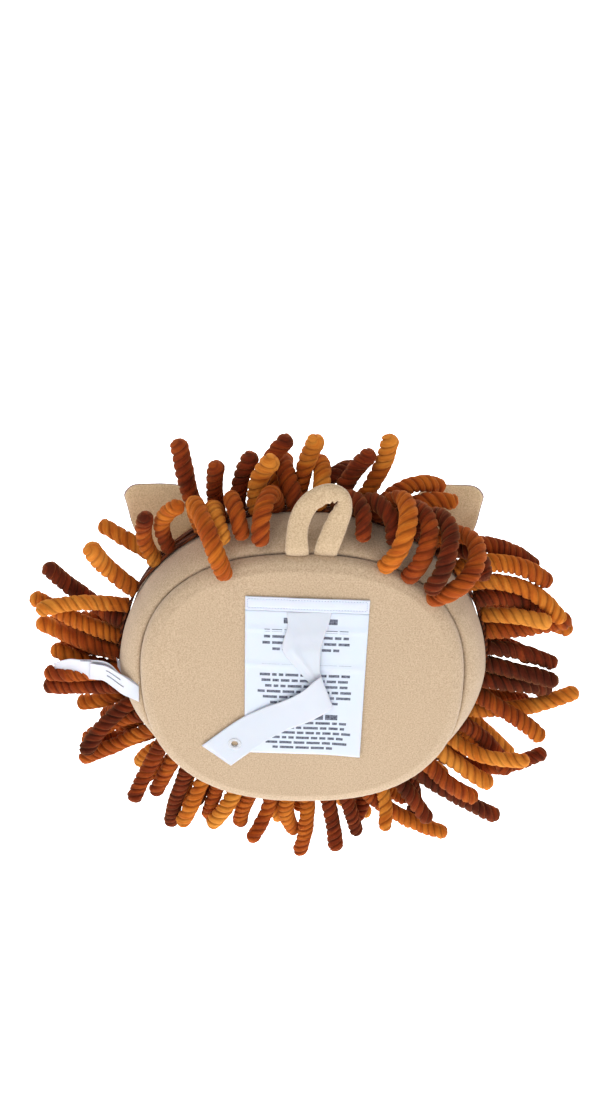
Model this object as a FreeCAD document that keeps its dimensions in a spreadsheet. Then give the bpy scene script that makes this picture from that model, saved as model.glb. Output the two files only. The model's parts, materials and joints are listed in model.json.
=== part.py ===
"""Plush lion head that hangs on a wall: fleece shells over a board and filling, ears, yarn mane, loop and labels.

Frame: +Z up as it hangs, the face looks along -Y, and the rear panel's back lies in the plane Y = 0.
The origin is the centre of the rear panel. Lengths are in millimetres and angles in degrees. "Depth" is
measured from the wall plane towards the face, so a point at depth d has Y = -d.
"""

import FreeCAD
import Part
import math
import os
import random

import Sketcher

Vector = FreeCAD.Vector

# ---------------------------------------------------------------------------------------------- sizes
# Each line is one cell of the sheet: alias, value, what it sets.
SIZES = [
    ("panel_half_width", 104.5, "rear panel, half its width"),
    ("panel_half_height", 92, "rear panel, half its height"),
    ("rim_depth", 8, "how far the panel's cover wraps round towards the face"),
    ("rim_round", 4, "radius of the panel's soft rim"),
    ("skin", 1.6, "thickness of the fleece"),
    ("fit_gap", 0.3, "clearance between neighbouring pieces"),
    ("board_thickness", 3, "rear board"),
    ("bulge_side", 19, "how far the gusset stands out past the panel at each side"),
    ("bulge_top", 16, "how far it stands out at top and bottom"),
    ("bulge_depth", 36, "depth at which the gusset is widest"),
    ("seam_depth", 60, "depth of the seam between gusset and face"),
    ("face_depth", 80, "how far the face stands out from that seam"),
    ("tape_width", 7, "mane tape, front to back"),
    ("tape_thickness", 1.6, "mane tape"),
    ("back_row_depth", 41, "depth of the rear row of yarn fingers"),
    ("front_row_depth", 54, "depth of the front row of yarn fingers"),
    ("back_row_count", 58, "yarn fingers in the rear row"),
    ("front_row_count", 56, "yarn fingers in the front row"),
    ("finger_diameter", 10.5, "twisted yarn finger"),
    ("finger_length", 47, "mean length of a yarn finger"),
    ("ear_base", 53, "ear, width at its seam"),
    ("ear_height", 46, "ear, seam to tip"),
    ("ear_layer", 2.2, "each layer of an ear"),
    ("ear_depth", 80, "depth of the middle of the ears"),
    ("ear_tip_round", 9, "radius of the ear's tip"),
    ("ear_shoulder_round", 13, "radius of the ear's inner shoulder"),
    ("ear_flank_round", 16, "radius of the ear's outer side"),
    ("ear_foot_round", 4, "radius of the ear's two lower corners"),
    ("ear_spread", 84, "sideways distance from the middle of the head to the middle of an ear's seam"),
    ("strap_width", 13, "hanging loop's strap"),
    ("strap_thickness", 3, "hanging loop's strap"),
    ("loop_rise", 21, "straight part of the loop's first leg"),
    ("loop_big_radius", 17, "first bend of the loop"),
    ("loop_small_radius", 9.5, "second bend of the loop"),
    ("loop_lean", 20, "angle of the loop's second leg"),
    ("loop_return", 25, "straight part of the loop's second leg"),
    ("loop_start", 1.5, "X of the middle of the loop's first leg"),
    ("label_width", 76, "large satin label"),
    ("label_height", 114, "large satin label with its top hem"),
    ("header_height", 9, "stitched top hem of the label"),
    ("satin", 0.4, "thickness of the satin"),
    ("label_air", 0.2, "air under the label, and between label and ribbon"),
    ("label_tilt", 1.9, "how far the label is turned, clockwise seen from behind"),
    ("label_x", -2, "X of the middle of the label"),
    ("label_z", 9, "Z of the middle of the label"),
    ("stitch_inset", 1.5, "stitches to the hem's edge"),
    ("stitch_pitch", 2.6, "one stitch and its gap"),
    ("strip_width", 25.4, "ribbon"),
    ("strip_run", 84, "length of the ribbon's slanting run"),
    ("strip_slant", 40.9, "slope of that run"),
    ("strip_pinch", 12.5, "width of the ribbon where it twists"),
    ("eyelet_bore_radius", 2.25, "hole of the eyelet"),
    ("eyelet_tube", 0.5, "wall of the eyelet's tube"),
    ("eyelet_flange_radius", 4.5, "outside of the eyelet"),
    ("eyelet_flange", 0.6, "thickness of each half's flange"),
    ("eyelet_inset", 16, "eyelet to the ribbon's cut end"),
    ("care_width", 23, "care label"),
    ("care_long", 52, "free length of the long leaf, past its bend"),
    ("care_short", 22, "free length of the short leaf, past its bend"),
    ("care_thickness", 0.5, "each leaf of the care label"),
    ("care_z", -4, "height of the middle of the care label"),
    ("eye_radius", 8, "moulded eye"),
    ("eye_spacing", 80, "between the eyes' centres"),
    ("eye_z", 24, "height of the eyes"),
    ("stem_radius", 2.5, "eye stem"),
    ("stem_length", 14, "eye stem"),
    ("washer_radius", 8, "eye washer"),
    ("washer_thickness", 2, "eye washer"),
    ("muzzle_half_width", 25, "each muzzle pad"),
    ("muzzle_half_height", 19, "each muzzle pad"),
    ("muzzle_half_depth", 20, "each muzzle pad"),
    ("muzzle_z", -26, "height of the muzzle pads"),
    ("chin_radius", 17, "chin pad"),
    ("nose_width", 30, "nose"),
    ("nose_height", 20, "nose"),
    ("nose_thickness", 22, "nose, from inside the face to its front"),
]

# Chosen fingers of the mane. Each line: row, place round the head (0 = +X, 90 = top), tip x, y, z, how far the
# finger first points straight out (1) or straight at its tip (0).
CHOSEN = [
    ("front", 52, 77, -46, 147, 0.3),
    ("back", 44, 70, -26, 114, 0.4),
    ("back", 36, 96, -30, 99, 0.6),
    ("front", 33, 127, -60, 85, 0.4),
    ("back", 22, 132, -24, 86, 0.6),
    ("back", 14, 165, -36, 68, 0.3),
    ("back", 8, 174, -34, 47, 0.2),
    ("back", 3, 176, -44, 24, 0.2),
    ("back", 54, 36, 5, 79, 1.0),
    ("back", 64, 47, -6, 104, 0.8),
    ("front", 60, 54, -42, 130, 0.4),
    ("back", 68, 38, -9, 105, 1.0),
    ("front", 68, 35, -46, 131, 0.5),
    ("back", 74, 19, -28, 141, 0.5),
    ("front", 77, 11, -47, 150, 0.3),
    ("back", 83, 26, -8, 102, 0.9),
    ("front", 86, -9, -42, 152, 0.3),
    ("front", 93, -20, -66, 118, 0.9),
    ("back", 100, -31, -11, 103, 0.9),
    ("front", 101, -34, -50, 124, 0.7),
    ("back", 107, -55, -16, 99, 0.9),
    ("front", 110, -52, -44, 152, 0.1),
    ("back", 113, -52, -5, 84, 1.0),
    ("back", 118, -66, -3, 80, 1.0),
    ("front", 120, -92, -50, 111, 1.0),
    ("back", 124, -84, 1, 72, 1.0),
    ("back", 129, -75, 6, 57, 1.0),
    ("back", 134, -112, -16, 76, 0.9),
    ("front", 141, -152, -52, 66, 0.5),
    ("back", 146, -158, -40, 58, 0.5),
    ("back", 154, -168, -36, 36, 0.3),
    ("front", 166, -180, -52, 18, 0.2),
    ("back", 196, -190, -50, -32, 0.1),
    ("back", 213, -152, -24, -70, 0.9),
    ("front", 219, -178, -56, -88, 0.3),
    ("back", 232, -142, -44, -134, 0.2),
    ("back", 246, -104, -42, -150, 0.2),
    ("back", 271, 4, -42, -166, 0.2),
    ("back", 311, 100, -46, -143, 0.3),
    ("back", 333, 158, -44, -84, 0.4),
]

DOCUMENT = FreeCAD.newDocument("lion_head")
SHEET = DOCUMENT.addObject("Spreadsheet::Sheet", "Dims")
for row, (alias, value, meaning) in enumerate(SIZES, start=1):
    SHEET.set(f"A{row}", meaning)
    SHEET.set(f"B{row}", str(value))
    SHEET.setAlias(f"B{row}", alias)
DOCUMENT.recompute()

PARTS = []


def size(alias):
    return float(SHEET.get(alias))


def keep(obj, label):
    """Names a finished sub-part and puts it on the list of those that are written out."""
    obj.Label = label
    PARTS.append(obj)
    return obj


# ------------------------------------------------------------------------------- sketches and features
def new_body(name):
    return DOCUMENT.addObject("PartDesign::Body", name)


def sketch_on(body, name, role="XZ_Plane", offset="0"):
    """An empty sketch on one of the body's own origin planes, moved along the plane's normal by an expression."""
    sketch = body.newObject("Sketcher::SketchObject", name)
    plane = next(f for f in body.Origin.OriginFeatures if f.Role == role)
    sketch.AttachmentSupport = [(plane, "")]
    sketch.MapMode = "FlatFace"
    sketch.setExpression("AttachmentOffset.Base.z", offset)
    DOCUMENT.recompute()
    return sketch


def ellipse(body, name, depth, half_width, half_height):
    """An ellipse round the Y axis at a depth, with its half sizes as expressions."""
    sketch = sketch_on(body, name, "XZ_Plane", depth)
    wide, high = sketch.evalExpression(half_width), sketch.evalExpression(half_height)
    curve = sketch.addGeometry(Part.Ellipse(Vector(0, 0, 0), float(wide), float(high)), False)
    sketch.exposeInternalGeometry(curve)
    sketch.addConstraint(Sketcher.Constraint("Coincident", curve, 3, -1, 1))
    sketch.addConstraint(Sketcher.Constraint("Horizontal", 1))
    for line, half in ((1, half_width), (2, half_height)):
        index = sketch.addConstraint(Sketcher.Constraint("Distance", line, 1.0))
        sketch.setExpression(f"Constraints[{index}]", f"2 * ({half})")
    DOCUMENT.recompute()
    return sketch


def polygon(sketch, corners):
    """A closed outline of straight lines through corners given as pairs of expressions."""
    at = [Vector(float(sketch.evalExpression(x)), float(sketch.evalExpression(y)), 0) for x, y in corners]
    first = None
    for k, start in enumerate(at):
        line = sketch.addGeometry(Part.LineSegment(start, at[(k + 1) % len(at)]), False)
        first = line if first is None else first
    for k, (x, y) in enumerate(corners):
        line, following = first + k, first + (k + 1) % len(corners)
        sketch.addConstraint(Sketcher.Constraint("Coincident", line, 2, following, 1))
        for kind, expression in (("DistanceX", x), ("DistanceY", y)):
            value = float(sketch.evalExpression(expression))
            index = sketch.addConstraint(Sketcher.Constraint(kind, -1, 1, line, 1, value))
            sketch.setExpression(f"Constraints[{index}]", expression)
    DOCUMENT.recompute()
    return sketch


def circle(sketch, x, y, radius):
    """A circle with its centre and radius as expressions."""
    centre = Vector(float(sketch.evalExpression(x)), float(sketch.evalExpression(y)), 0)
    start = float(sketch.evalExpression(radius))
    curve = sketch.addGeometry(Part.Circle(centre, Vector(0, 0, 1), start), False)
    for kind, expression in (("DistanceX", x), ("DistanceY", y)):
        value = float(sketch.evalExpression(expression))
        index = sketch.addConstraint(Sketcher.Constraint(kind, -1, 1, curve, 3, value))
        sketch.setExpression(f"Constraints[{index}]", expression)
    index = sketch.addConstraint(Sketcher.Constraint("Radius", curve, start))
    sketch.setExpression(f"Constraints[{index}]", radius)
    DOCUMENT.recompute()
    return sketch


def pad(body, name, sketch, length, reverse=False, middle=False):
    feature = body.newObject("PartDesign::Pad", name)
    feature.Profile = sketch
    feature.setExpression("Length", length)
    feature.Reversed = reverse
    feature.Midplane = middle
    DOCUMENT.recompute()
    return feature


def pocket(body, name, sketch, length, reverse=False):
    """A pocket that must take something away."""
    before = body.Shape.Volume
    feature = body.newObject("PartDesign::Pocket", name)
    feature.Profile = sketch
    feature.setExpression("Length", length)
    feature.Reversed = reverse
    DOCUMENT.recompute()
    if body.Shape.Volume >= before - 0.01:
        raise RuntimeError(f"{name} in {body.Name} cut nothing")
    return feature


def loft(body, name, sketches, cut=False):
    kind = "PartDesign::SubtractiveLoft" if cut else "PartDesign::AdditiveLoft"
    before = body.Shape.Volume if cut else 0.0
    feature = body.newObject(kind, name)
    feature.Profile = sketches[0]
    feature.Sections = sketches[1:]
    feature.Ruled = False
    feature.Closed = False
    DOCUMENT.recompute()
    if cut and body.Shape.Volume >= before - 0.01:
        raise RuntimeError(f"{name} in {body.Name} cut nothing")
    return feature


def fillet(body, name, base, wanted, radius):
    """Rounds those edges of the last feature that the test picks."""
    names = [f"Edge{k}" for k, edge in enumerate(base.Shape.Edges, start=1) if wanted(edge)]
    if not names:
        raise RuntimeError(f"{name} found no edge")
    feature = body.newObject("PartDesign::Fillet", name)
    feature.Base = (base, names)
    feature.setExpression("Radius", radius)
    DOCUMENT.recompute()
    return feature


def ellipsoid(name, half_width, half_depth, half_height, dome=False):
    """An ellipsoid with its third axis along -Y; a dome is its half on the face's side."""
    shape = DOCUMENT.addObject("Part::Ellipsoid", name)
    shape.setExpression("Radius1", half_depth)
    shape.setExpression("Radius2", half_width)
    shape.setExpression("Radius3", half_height)
    shape.Angle1 = 0 if dome else -90
    shape.Placement.Rotation = FreeCAD.Rotation(Vector(1, 0, 0), 90)
    return shape


def move(obj, x="0", y="0", z="0"):
    """Binds an object's place to the sheet."""
    for axis, expression in (("x", x), ("y", y), ("z", z)):
        obj.setExpression(f"Placement.Base.{axis}", expression)
    return obj


def cut(name, base, tool):
    feature = DOCUMENT.addObject("Part::Cut", name)
    feature.Base = base
    feature.Tool = tool
    DOCUMENT.recompute()
    return feature


def fuse(name, base, tool):
    feature = DOCUMENT.addObject("Part::Fuse", name)
    feature.Base = base
    feature.Tool = tool
    DOCUMENT.recompute()
    return feature


# ------------------------------------------------------------------------------------ panel and board
def make_back_panel():
    """A shallow tray of fleece: the flat rear face, a soft rim, and a wrap that reaches round to the gusset."""
    body = new_body("panel_cover")
    outline = ellipse(body, "panel_outline", "0", "Dims.panel_half_width", "Dims.panel_half_height")
    slab = pad(body, "panel_slab", outline, "Dims.rim_depth")
    fillet(body, "soft_rim", slab, lambda edge: abs(edge.CenterOfMass.y) < 0.01, "Dims.rim_round")
    inside = ellipse(body, "tray", "Dims.rim_depth", "Dims.panel_half_width - Dims.rim_round",
                     "Dims.panel_half_height - Dims.rim_round")
    pocket(body, "hollow", inside, "Dims.rim_depth - Dims.skin")
    return keep(body, "back_panel")


def make_backing_board():
    body = new_body("board")
    outline = ellipse(body, "board_outline", "Dims.skin + Dims.fit_gap",
                      "Dims.panel_half_width - Dims.rim_round - Dims.fit_gap",
                      "Dims.panel_half_height - Dims.rim_round - Dims.fit_gap")
    pad(body, "board_slab", outline, "Dims.board_thickness")
    return keep(body, "backing_board")


# ------------------------------------------------------------------- the gusset's round, swelling form
# Shares of the bulge's depth at which the gusset has a section. The first lies at the panel's rim.
SECTION_SHARES = (0.0, 0.12, 0.4, 1.0)


def bulge_sections(body, name, inset):
    """Ellipses from the panel's rim to the widest place, each a quarter of an ellipse further out."""
    made = []
    for k, share in enumerate(SECTION_SHARES):
        swell = f"sqrt(1 - (1 - {share})^2)"
        depth = f"Dims.rim_depth + Dims.fit_gap + {share} * (Dims.bulge_depth - Dims.rim_depth)"
        half_width = f"Dims.panel_half_width + Dims.bulge_side * {swell} - ({inset})"
        half_height = f"Dims.panel_half_height + Dims.bulge_top * {swell} - ({inset})"
        made.append(ellipse(body, f"{name}_{k}", depth, half_width, half_height))
    return made


def widest(body, name, inset):
    """The ellipse where the straight band round the head begins."""
    return ellipse(body, name, "Dims.bulge_depth + Dims.fit_gap",
                   f"Dims.panel_half_width + Dims.bulge_side - ({inset})",
                   f"Dims.panel_half_height + Dims.bulge_top - ({inset})")


def make_side_gusset():
    body = new_body("gusset")
    loft(body, "swell", bulge_sections(body, "outer", "0"))
    band = "Dims.seam_depth - Dims.bulge_depth - Dims.fit_gap"
    pad(body, "band", widest(body, "band_outline", "0"), band)
    loft(body, "hollow_swell", bulge_sections(body, "inner", "Dims.skin"), cut=True)
    pocket(body, "hollow_band", widest(body, "band_bore", "Dims.skin"), band, reverse=True)
    return keep(body, "side_gusset")


def face_dome(name, inset):
    """Half an ellipsoid in front of the seam; a positive inset is inside the face."""
    dome = ellipsoid(name, f"Dims.panel_half_width + Dims.bulge_side - ({inset})", f"Dims.face_depth - ({inset})",
                     f"Dims.panel_half_height + Dims.bulge_top - ({inset})", dome=True)
    return move(dome, y="-Dims.seam_depth - Dims.fit_gap")


# Depth of the face's surface under an eye, and the same for its sheet expression.
EYE_SURFACE = ("Dims.seam_depth + Dims.face_depth * sqrt(1 - (Dims.eye_spacing / 2 / "
               "(Dims.panel_half_width + Dims.bulge_side))^2 - "
               "(Dims.eye_z / (Dims.panel_half_height + Dims.bulge_top))^2)")


def eye_turn(side):
    """Rotation that points an eye's axis, +Z in its own body, along the face's outward normal."""
    half_width = size("panel_half_width") + size("bulge_side")
    half_height = size("panel_half_height") + size("bulge_top")
    x, z = side * size("eye_spacing") / 2, size("eye_z")
    depth = size("face_depth")
    share = math.sqrt(1 - (x / half_width) ** 2 - (z / half_height) ** 2)
    normal = Vector(x / half_width**2, -share / depth, z / half_height**2)
    return FreeCAD.Rotation(Vector(0, 0, 1), normal)


def eye_solid(name, side, extra):
    """A turned eye: dome, stem and, with extra clearance, the room that it takes in the face and the filling."""
    body = new_body(name)
    sketch = sketch_on(body, name + "_profile", "XZ_Plane")
    stem, length = f"(Dims.stem_radius + {extra})", f"(Dims.stem_length + {extra})"
    polygon(sketch, [("0", "-" + length), (stem, "-" + length), (stem, "0.5"),
                     (f"Dims.eye_radius + {extra}", "0.5"), (f"Dims.eye_radius + {extra}", "2"),
                     ("Dims.eye_radius * 0.8", "Dims.eye_radius * 0.6"),
                     ("Dims.eye_radius * 0.4", "Dims.eye_radius * 0.78"), ("0", "Dims.eye_radius * 0.82")])
    turned = body.newObject("PartDesign::Revolution", name + "_turned")
    turned.Profile = sketch
    turned.ReferenceAxis = (sketch, ["V_Axis"])
    turned.Angle = 360
    DOCUMENT.recompute()
    body.Placement.Rotation = eye_turn(side)
    move(body, f"{side} * Dims.eye_spacing / 2", f"-({EYE_SURFACE}) - Dims.fit_gap * 2", "Dims.eye_z")
    return body


def washer_solid(name, side, extra):
    """The lock washer behind the face's fleece, on the eye's stem."""
    body = new_body(name)
    sketch = sketch_on(body, name + "_profile", "XZ_Plane")
    inner, outer = f"(Dims.stem_radius + 0.15 - {extra})", f"(Dims.washer_radius + {extra})"
    top, low = f"-(Dims.skin + 2.5 - {extra})", f"-(Dims.skin + 2.5 + Dims.washer_thickness + {extra})"
    polygon(sketch, [(inner, low), (outer, low), (outer, top), (inner, top)])
    turned = body.newObject("PartDesign::Revolution", name + "_turned")
    turned.Profile = sketch
    turned.ReferenceAxis = (sketch, ["V_Axis"])
    turned.Angle = 360
    DOCUMENT.recompute()
    body.Placement.Rotation = eye_turn(side)
    move(body, f"{side} * Dims.eye_spacing / 2", f"-({EYE_SURFACE}) - Dims.fit_gap * 2", "Dims.eye_z")
    return body


SIDES = (("left", 1), ("right", -1))


def make_face_and_filling():
    """The front shell, the filling behind it, and the eyes that pass through both."""
    shell = cut("face_shell", face_dome("face_outer", "0"), face_dome("face_inner", "Dims.skin"))
    room = new_body("filling_core")
    start = ellipse(room, "behind_board", "Dims.skin + Dims.board_thickness + 2 * Dims.fit_gap",
                    "Dims.panel_half_width - Dims.rim_round - Dims.fit_gap",
                    "Dims.panel_half_height - Dims.rim_round - Dims.fit_gap")
    pad(room, "plug", start, "Dims.rim_depth - Dims.skin - Dims.board_thickness + Dims.fit_gap")
    inset = "Dims.skin + Dims.fit_gap"
    loft(room, "core_swell", bulge_sections(room, "core", inset))
    pad(room, "core_band", widest(room, "core_outline", inset), "Dims.seam_depth - Dims.bulge_depth")
    filling = fuse("filling", room, face_dome("core_dome", inset))
    for name, side in SIDES:
        shell = cut("face_hole_" + name, shell, eye_solid("eye_room_" + name, side, "Dims.fit_gap"))
        filling = cut("stem_room_" + name, filling, eye_solid("stem_space_" + name, side, "Dims.fit_gap"))
        filling = cut("washer_room_" + name, filling, washer_solid("washer_space_" + name, side, "Dims.fit_gap"))
        keep(eye_solid("eye_of_" + name, side, "0"), "eye_" + name)
        keep(washer_solid("washer_of_" + name, side, "0"), "eye_washer_" + name)
    keep(shell, "face_panel")
    keep(filling, "stuffing")


# -------------------------------------------------------------------------------------- muzzle and nose
MUZZLE_Y = "-(Dims.seam_depth + Dims.face_depth)"


def muzzle_pad(name, side):
    pad_shape = ellipsoid(name, "Dims.muzzle_half_width", "Dims.muzzle_half_depth", "Dims.muzzle_half_height")
    return move(pad_shape, f"{side} * (Dims.muzzle_half_width - 4)", MUZZLE_Y, "Dims.muzzle_z")


def make_muzzle():
    """Two pads side by side, a chin under them and a nose on top, each trimmed to lie on the face."""
    for name, side in SIDES:
        pad_shape = cut(f"muzzle_{name}_on_face", muzzle_pad(f"muzzle_{name}_raw", side),
                        face_dome(f"face_under_muzzle_{name}", "-Dims.fit_gap"))
        half = DOCUMENT.addObject("Part::Box", f"middle_{name}")
        for edge in ("Length", "Width", "Height"):
            half.setExpression(edge, "4 * Dims.muzzle_half_width")
        across = "0.15 - 4 * Dims.muzzle_half_width" if side > 0 else "-0.15"
        move(half, across, MUZZLE_Y + " - 2 * Dims.muzzle_half_width", "Dims.muzzle_z - 2 * Dims.muzzle_half_width")
        keep(cut(f"muzzle_{name}_trimmed", pad_shape, half), f"muzzle_{name}")
    chin = ellipsoid("chin_raw", "Dims.chin_radius", "Dims.chin_radius", "Dims.chin_radius * 0.7")
    move(chin, "0", MUZZLE_Y + " + 4", "Dims.muzzle_z - Dims.muzzle_half_height - 2")
    chin = cut("chin_on_face", chin, face_dome("face_under_chin", "-Dims.fit_gap"))
    for name, side in SIDES:
        room = ellipsoid(f"chin_room_{name}", "Dims.muzzle_half_width + Dims.fit_gap",
                         "Dims.muzzle_half_depth + Dims.fit_gap", "Dims.muzzle_half_height + Dims.fit_gap")
        move(room, f"{side} * (Dims.muzzle_half_width - 4)", MUZZLE_Y, "Dims.muzzle_z")
        chin = cut(f"chin_below_{name}", chin, room)
    keep(chin, "chin")


def make_nose():
    """A rounded three-cornered pad over the top of the muzzle."""
    body = new_body("nose_body")
    sketch = sketch_on(body, "nose_outline", "XZ_Plane")
    polygon(sketch, [("-Dims.nose_width / 2", "Dims.nose_height / 2"), ("-Dims.nose_width * 0.09", "-Dims.nose_height / 2"),
                     ("Dims.nose_width * 0.09", "-Dims.nose_height / 2"), ("Dims.nose_width / 2", "Dims.nose_height / 2")])
    slab = pad(body, "nose_slab", sketch, "Dims.nose_thickness")
    corners = fillet(body, "nose_corners", slab, lambda edge: abs(edge.tangentAt(edge.FirstParameter).y) > 0.9,
                     "Dims.nose_height * 0.15")
    front = corners.Shape.BoundBox.YMin
    fillet(body, "nose_front", corners, lambda edge: edge.BoundBox.YMax < front + 0.01, "Dims.nose_thickness * 0.11")
    move(body, "0", MUZZLE_Y + " + 2", "Dims.muzzle_z + Dims.muzzle_half_height * 0.95")
    nose = body
    for name, side in SIDES:
        room = ellipsoid(f"nose_room_{name}", "Dims.muzzle_half_width + Dims.fit_gap",
                         "Dims.muzzle_half_depth + Dims.fit_gap", "Dims.muzzle_half_height + Dims.fit_gap")
        move(room, f"{side} * (Dims.muzzle_half_width - 4)", MUZZLE_Y, "Dims.muzzle_z")
        nose = cut(f"nose_above_{name}", nose, room)
    nose = cut("nose_on_face", nose, face_dome("face_under_nose", "-Dims.fit_gap"))
    keep(nose, "nose")


# ------------------------------------------------------------------------------------------------ ears
# The ear's outline as shares of its base and height, from the inner foot round to the outer foot.
EAR_CORNERS = ((0.0, 0.0), (0.04, 0.57), (0.58, 1.12), (0.93, 0.50), (1.0, 0.0))


def ear_layer(name, side, rear):
    """One fleece layer of an ear in its own frame: X along the seam from the inner end, Y out, Z to the rear."""
    body = new_body(name)
    sketch = sketch_on(body, name + "_outline", "XY_Plane")
    polygon(sketch, [(f"{side} * Dims.ear_base * ({x} - 0.5)", f"Dims.ear_height * {y}") for x, y in EAR_CORNERS])
    # The left ear is the right one turned round its own middle line, so its rear lies on the other side.
    behind = rear if side < 0 else not rear
    slab = pad(body, name + "_slab", sketch, "Dims.ear_layer", reverse=not behind)

    def upright(edge, share_x, share_y):
        at = edge.CenterOfMass
        x, y = side * size("ear_base") * (share_x - 0.5), size("ear_height") * share_y
        return abs(at.x - x) < 0.5 and abs(at.y - y) < 0.5 and abs(edge.tangentAt(edge.FirstParameter).z) > 0.9

    tip = fillet(body, name + "_tip", slab, lambda e: upright(e, *EAR_CORNERS[2]), "Dims.ear_tip_round")
    shoulder = fillet(body, name + "_shoulder", tip, lambda e: upright(e, *EAR_CORNERS[1]), "Dims.ear_shoulder_round")
    flank = fillet(body, name + "_flank", shoulder, lambda e: upright(e, *EAR_CORNERS[3]), "Dims.ear_flank_round")
    fillet(body, name + "_feet", flank,
           lambda e: upright(e, *EAR_CORNERS[0]) or upright(e, *EAR_CORNERS[4]), "Dims.ear_foot_round")
    return body


def ear_seat():
    """Where an ear's seam is on the right side: its middle, the outward direction, and how far it turns."""
    half_width = size("panel_half_width") + size("bulge_side")
    half_height = size("panel_half_height") + size("bulge_top")
    share = (size("ear_depth") - size("seam_depth") - size("fit_gap")) / size("face_depth")
    round_in = math.sqrt(1 - share**2)
    x = size("ear_spread")
    z = half_height * round_in * math.sqrt(1 - (x / half_width / round_in) ** 2)
    outward = Vector(x / half_width**2, 0, z / half_height**2).normalize()
    # The seam is straight and the head is round, so the seam stands off by the arc's rise and the clearance.
    middle_radius = (half_width + half_height) / 2
    rise = size("ear_base") ** 2 / 8 / middle_radius
    off = outward * (rise * 0.35 + 3 * size("fit_gap"))
    return Vector(x, -size("ear_depth"), z) + off, outward


def make_ears():
    seat, outward = ear_seat()
    for name, side in SIDES:
        # Own X lies along the seam and own Y points out; their cross product, own Z, is then along Y.
        out = Vector(side * outward.x, 0, outward.z)
        along = Vector(side * outward.z, 0, -outward.x) * side
        turn = FreeCAD.Rotation(along, out, along.cross(out), "XYZ")
        for layer, rear in (("back", True), ("lining", False)):
            body = ear_layer(f"ear_{layer}_{name}", side, rear)
            body.Placement = FreeCAD.Placement(Vector(side * seat.x, seat.y, seat.z), turn)
            keep(body, f"ear_{name}_{layer}")


# ---------------------------------------------------------------------------------------- hanging loop
def make_hanging_loop():
    """A strap bent edgeways into a leaning loop above the panel's top seam."""
    body = new_body("loop")
    path = sketch_on(body, "loop_line", "XZ_Plane", "Dims.strap_thickness / 2 + 1.5")
    foot = size("panel_half_height") + 1.5
    x0, rise, big, small = size("loop_start"), size("loop_rise"), size("loop_big_radius"), size("loop_small_radius")
    lean = math.radians(size("loop_lean"))
    top = foot + rise
    first, second = Vector(x0 - big, top, 0), Vector(x0 - big, top + big - small, 0)
    turn_end = second + Vector(-small * math.cos(lean), -small * math.sin(lean), 0)
    last = turn_end + Vector(math.sin(lean), -math.cos(lean), 0) * size("loop_return")
    normal = Vector(0, 0, 1)
    leg = path.addGeometry(Part.LineSegment(Vector(x0, foot, 0), Vector(x0, top, 0)), False)
    wide = path.addGeometry(Part.ArcOfCircle(Part.Circle(first, normal, big), 0, math.pi / 2), False)
    tight = path.addGeometry(Part.ArcOfCircle(Part.Circle(second, normal, small), math.pi / 2, math.pi + lean), False)
    back = path.addGeometry(Part.LineSegment(turn_end, last), False)
    add = path.addConstraint
    add(Sketcher.Constraint("Vertical", leg))
    add(Sketcher.Constraint("Tangent", leg, 2, wide, 1))
    add(Sketcher.Constraint("Tangent", wide, 2, tight, 1))
    add(Sketcher.Constraint("Tangent", tight, 2, back, 1))
    bound = [
        (add(Sketcher.Constraint("DistanceX", -1, 1, leg, 1, x0)), "Dims.loop_start"),
        (add(Sketcher.Constraint("DistanceY", -1, 1, leg, 1, foot)), "Dims.panel_half_height + 1.5"),
        (add(Sketcher.Constraint("Distance", leg, rise)), "Dims.loop_rise"),
        (add(Sketcher.Constraint("Radius", wide, big)), "Dims.loop_big_radius"),
        (add(Sketcher.Constraint("Radius", tight, small)), "Dims.loop_small_radius"),
        (add(Sketcher.Constraint("Distance", back, size("loop_return"))), "Dims.loop_return"),
        (add(Sketcher.Constraint("DistanceX", wide, 2, wide, 3, 0.0)), "0"),
        (add(Sketcher.Constraint("Angle", -1, 1, back, 1, lean - math.pi / 2)), "Dims.loop_lean - 90"),
    ]
    for index, expression in bound:
        path.setExpression(f"Constraints[{index}]", expression)
    DOCUMENT.recompute()
    section = sketch_on(body, "strap_section", "XY_Plane", "Dims.panel_half_height + 1.5")
    left, right = "Dims.loop_start - Dims.strap_width / 2", "Dims.loop_start + Dims.strap_width / 2"
    near, far = "-1.5 - Dims.strap_thickness", "-1.5"
    polygon(section, [(left, near), (right, near), (right, far), (left, far)])
    pipe = body.newObject("PartDesign::AdditivePipe", "strap")
    pipe.Profile = section
    pipe.Spine = (path, ["Edge1", "Edge2", "Edge3", "Edge4"])
    DOCUMENT.recompute()
    return keep(body, "hanging_loop")


# ---------------------------------------------------------------------------- the large satin label
# The label's own frame has its origin at the middle of the label, X towards the head's +X and Y up.
HEADER_LOW = "(Dims.label_height / 2 - Dims.header_height)"


def lay_on_panel(body, lift="0"):
    """Turns a body whose sketches lie in its XZ plane with the label, and puts it at the label's place."""
    body.Placement.Rotation = FreeCAD.Rotation(Vector(0, 1, 0), -size("label_tilt"))
    return move(body, "Dims.label_x", lift, "Dims.label_z")


def slab(name, corners, low, thickness):
    """A thin flat piece: its outline, how far its underside is from the wall plane, and its thickness."""
    body = new_body(name)
    sketch = sketch_on(body, name + "_outline", "XZ_Plane", f"-({low})")
    polygon(sketch, corners)
    pad(body, name + "_sheet", sketch, thickness, reverse=True)
    return body


def box_corners(left, right, low, high):
    return [(left, low), (right, low), (right, high), (left, high)]


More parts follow.
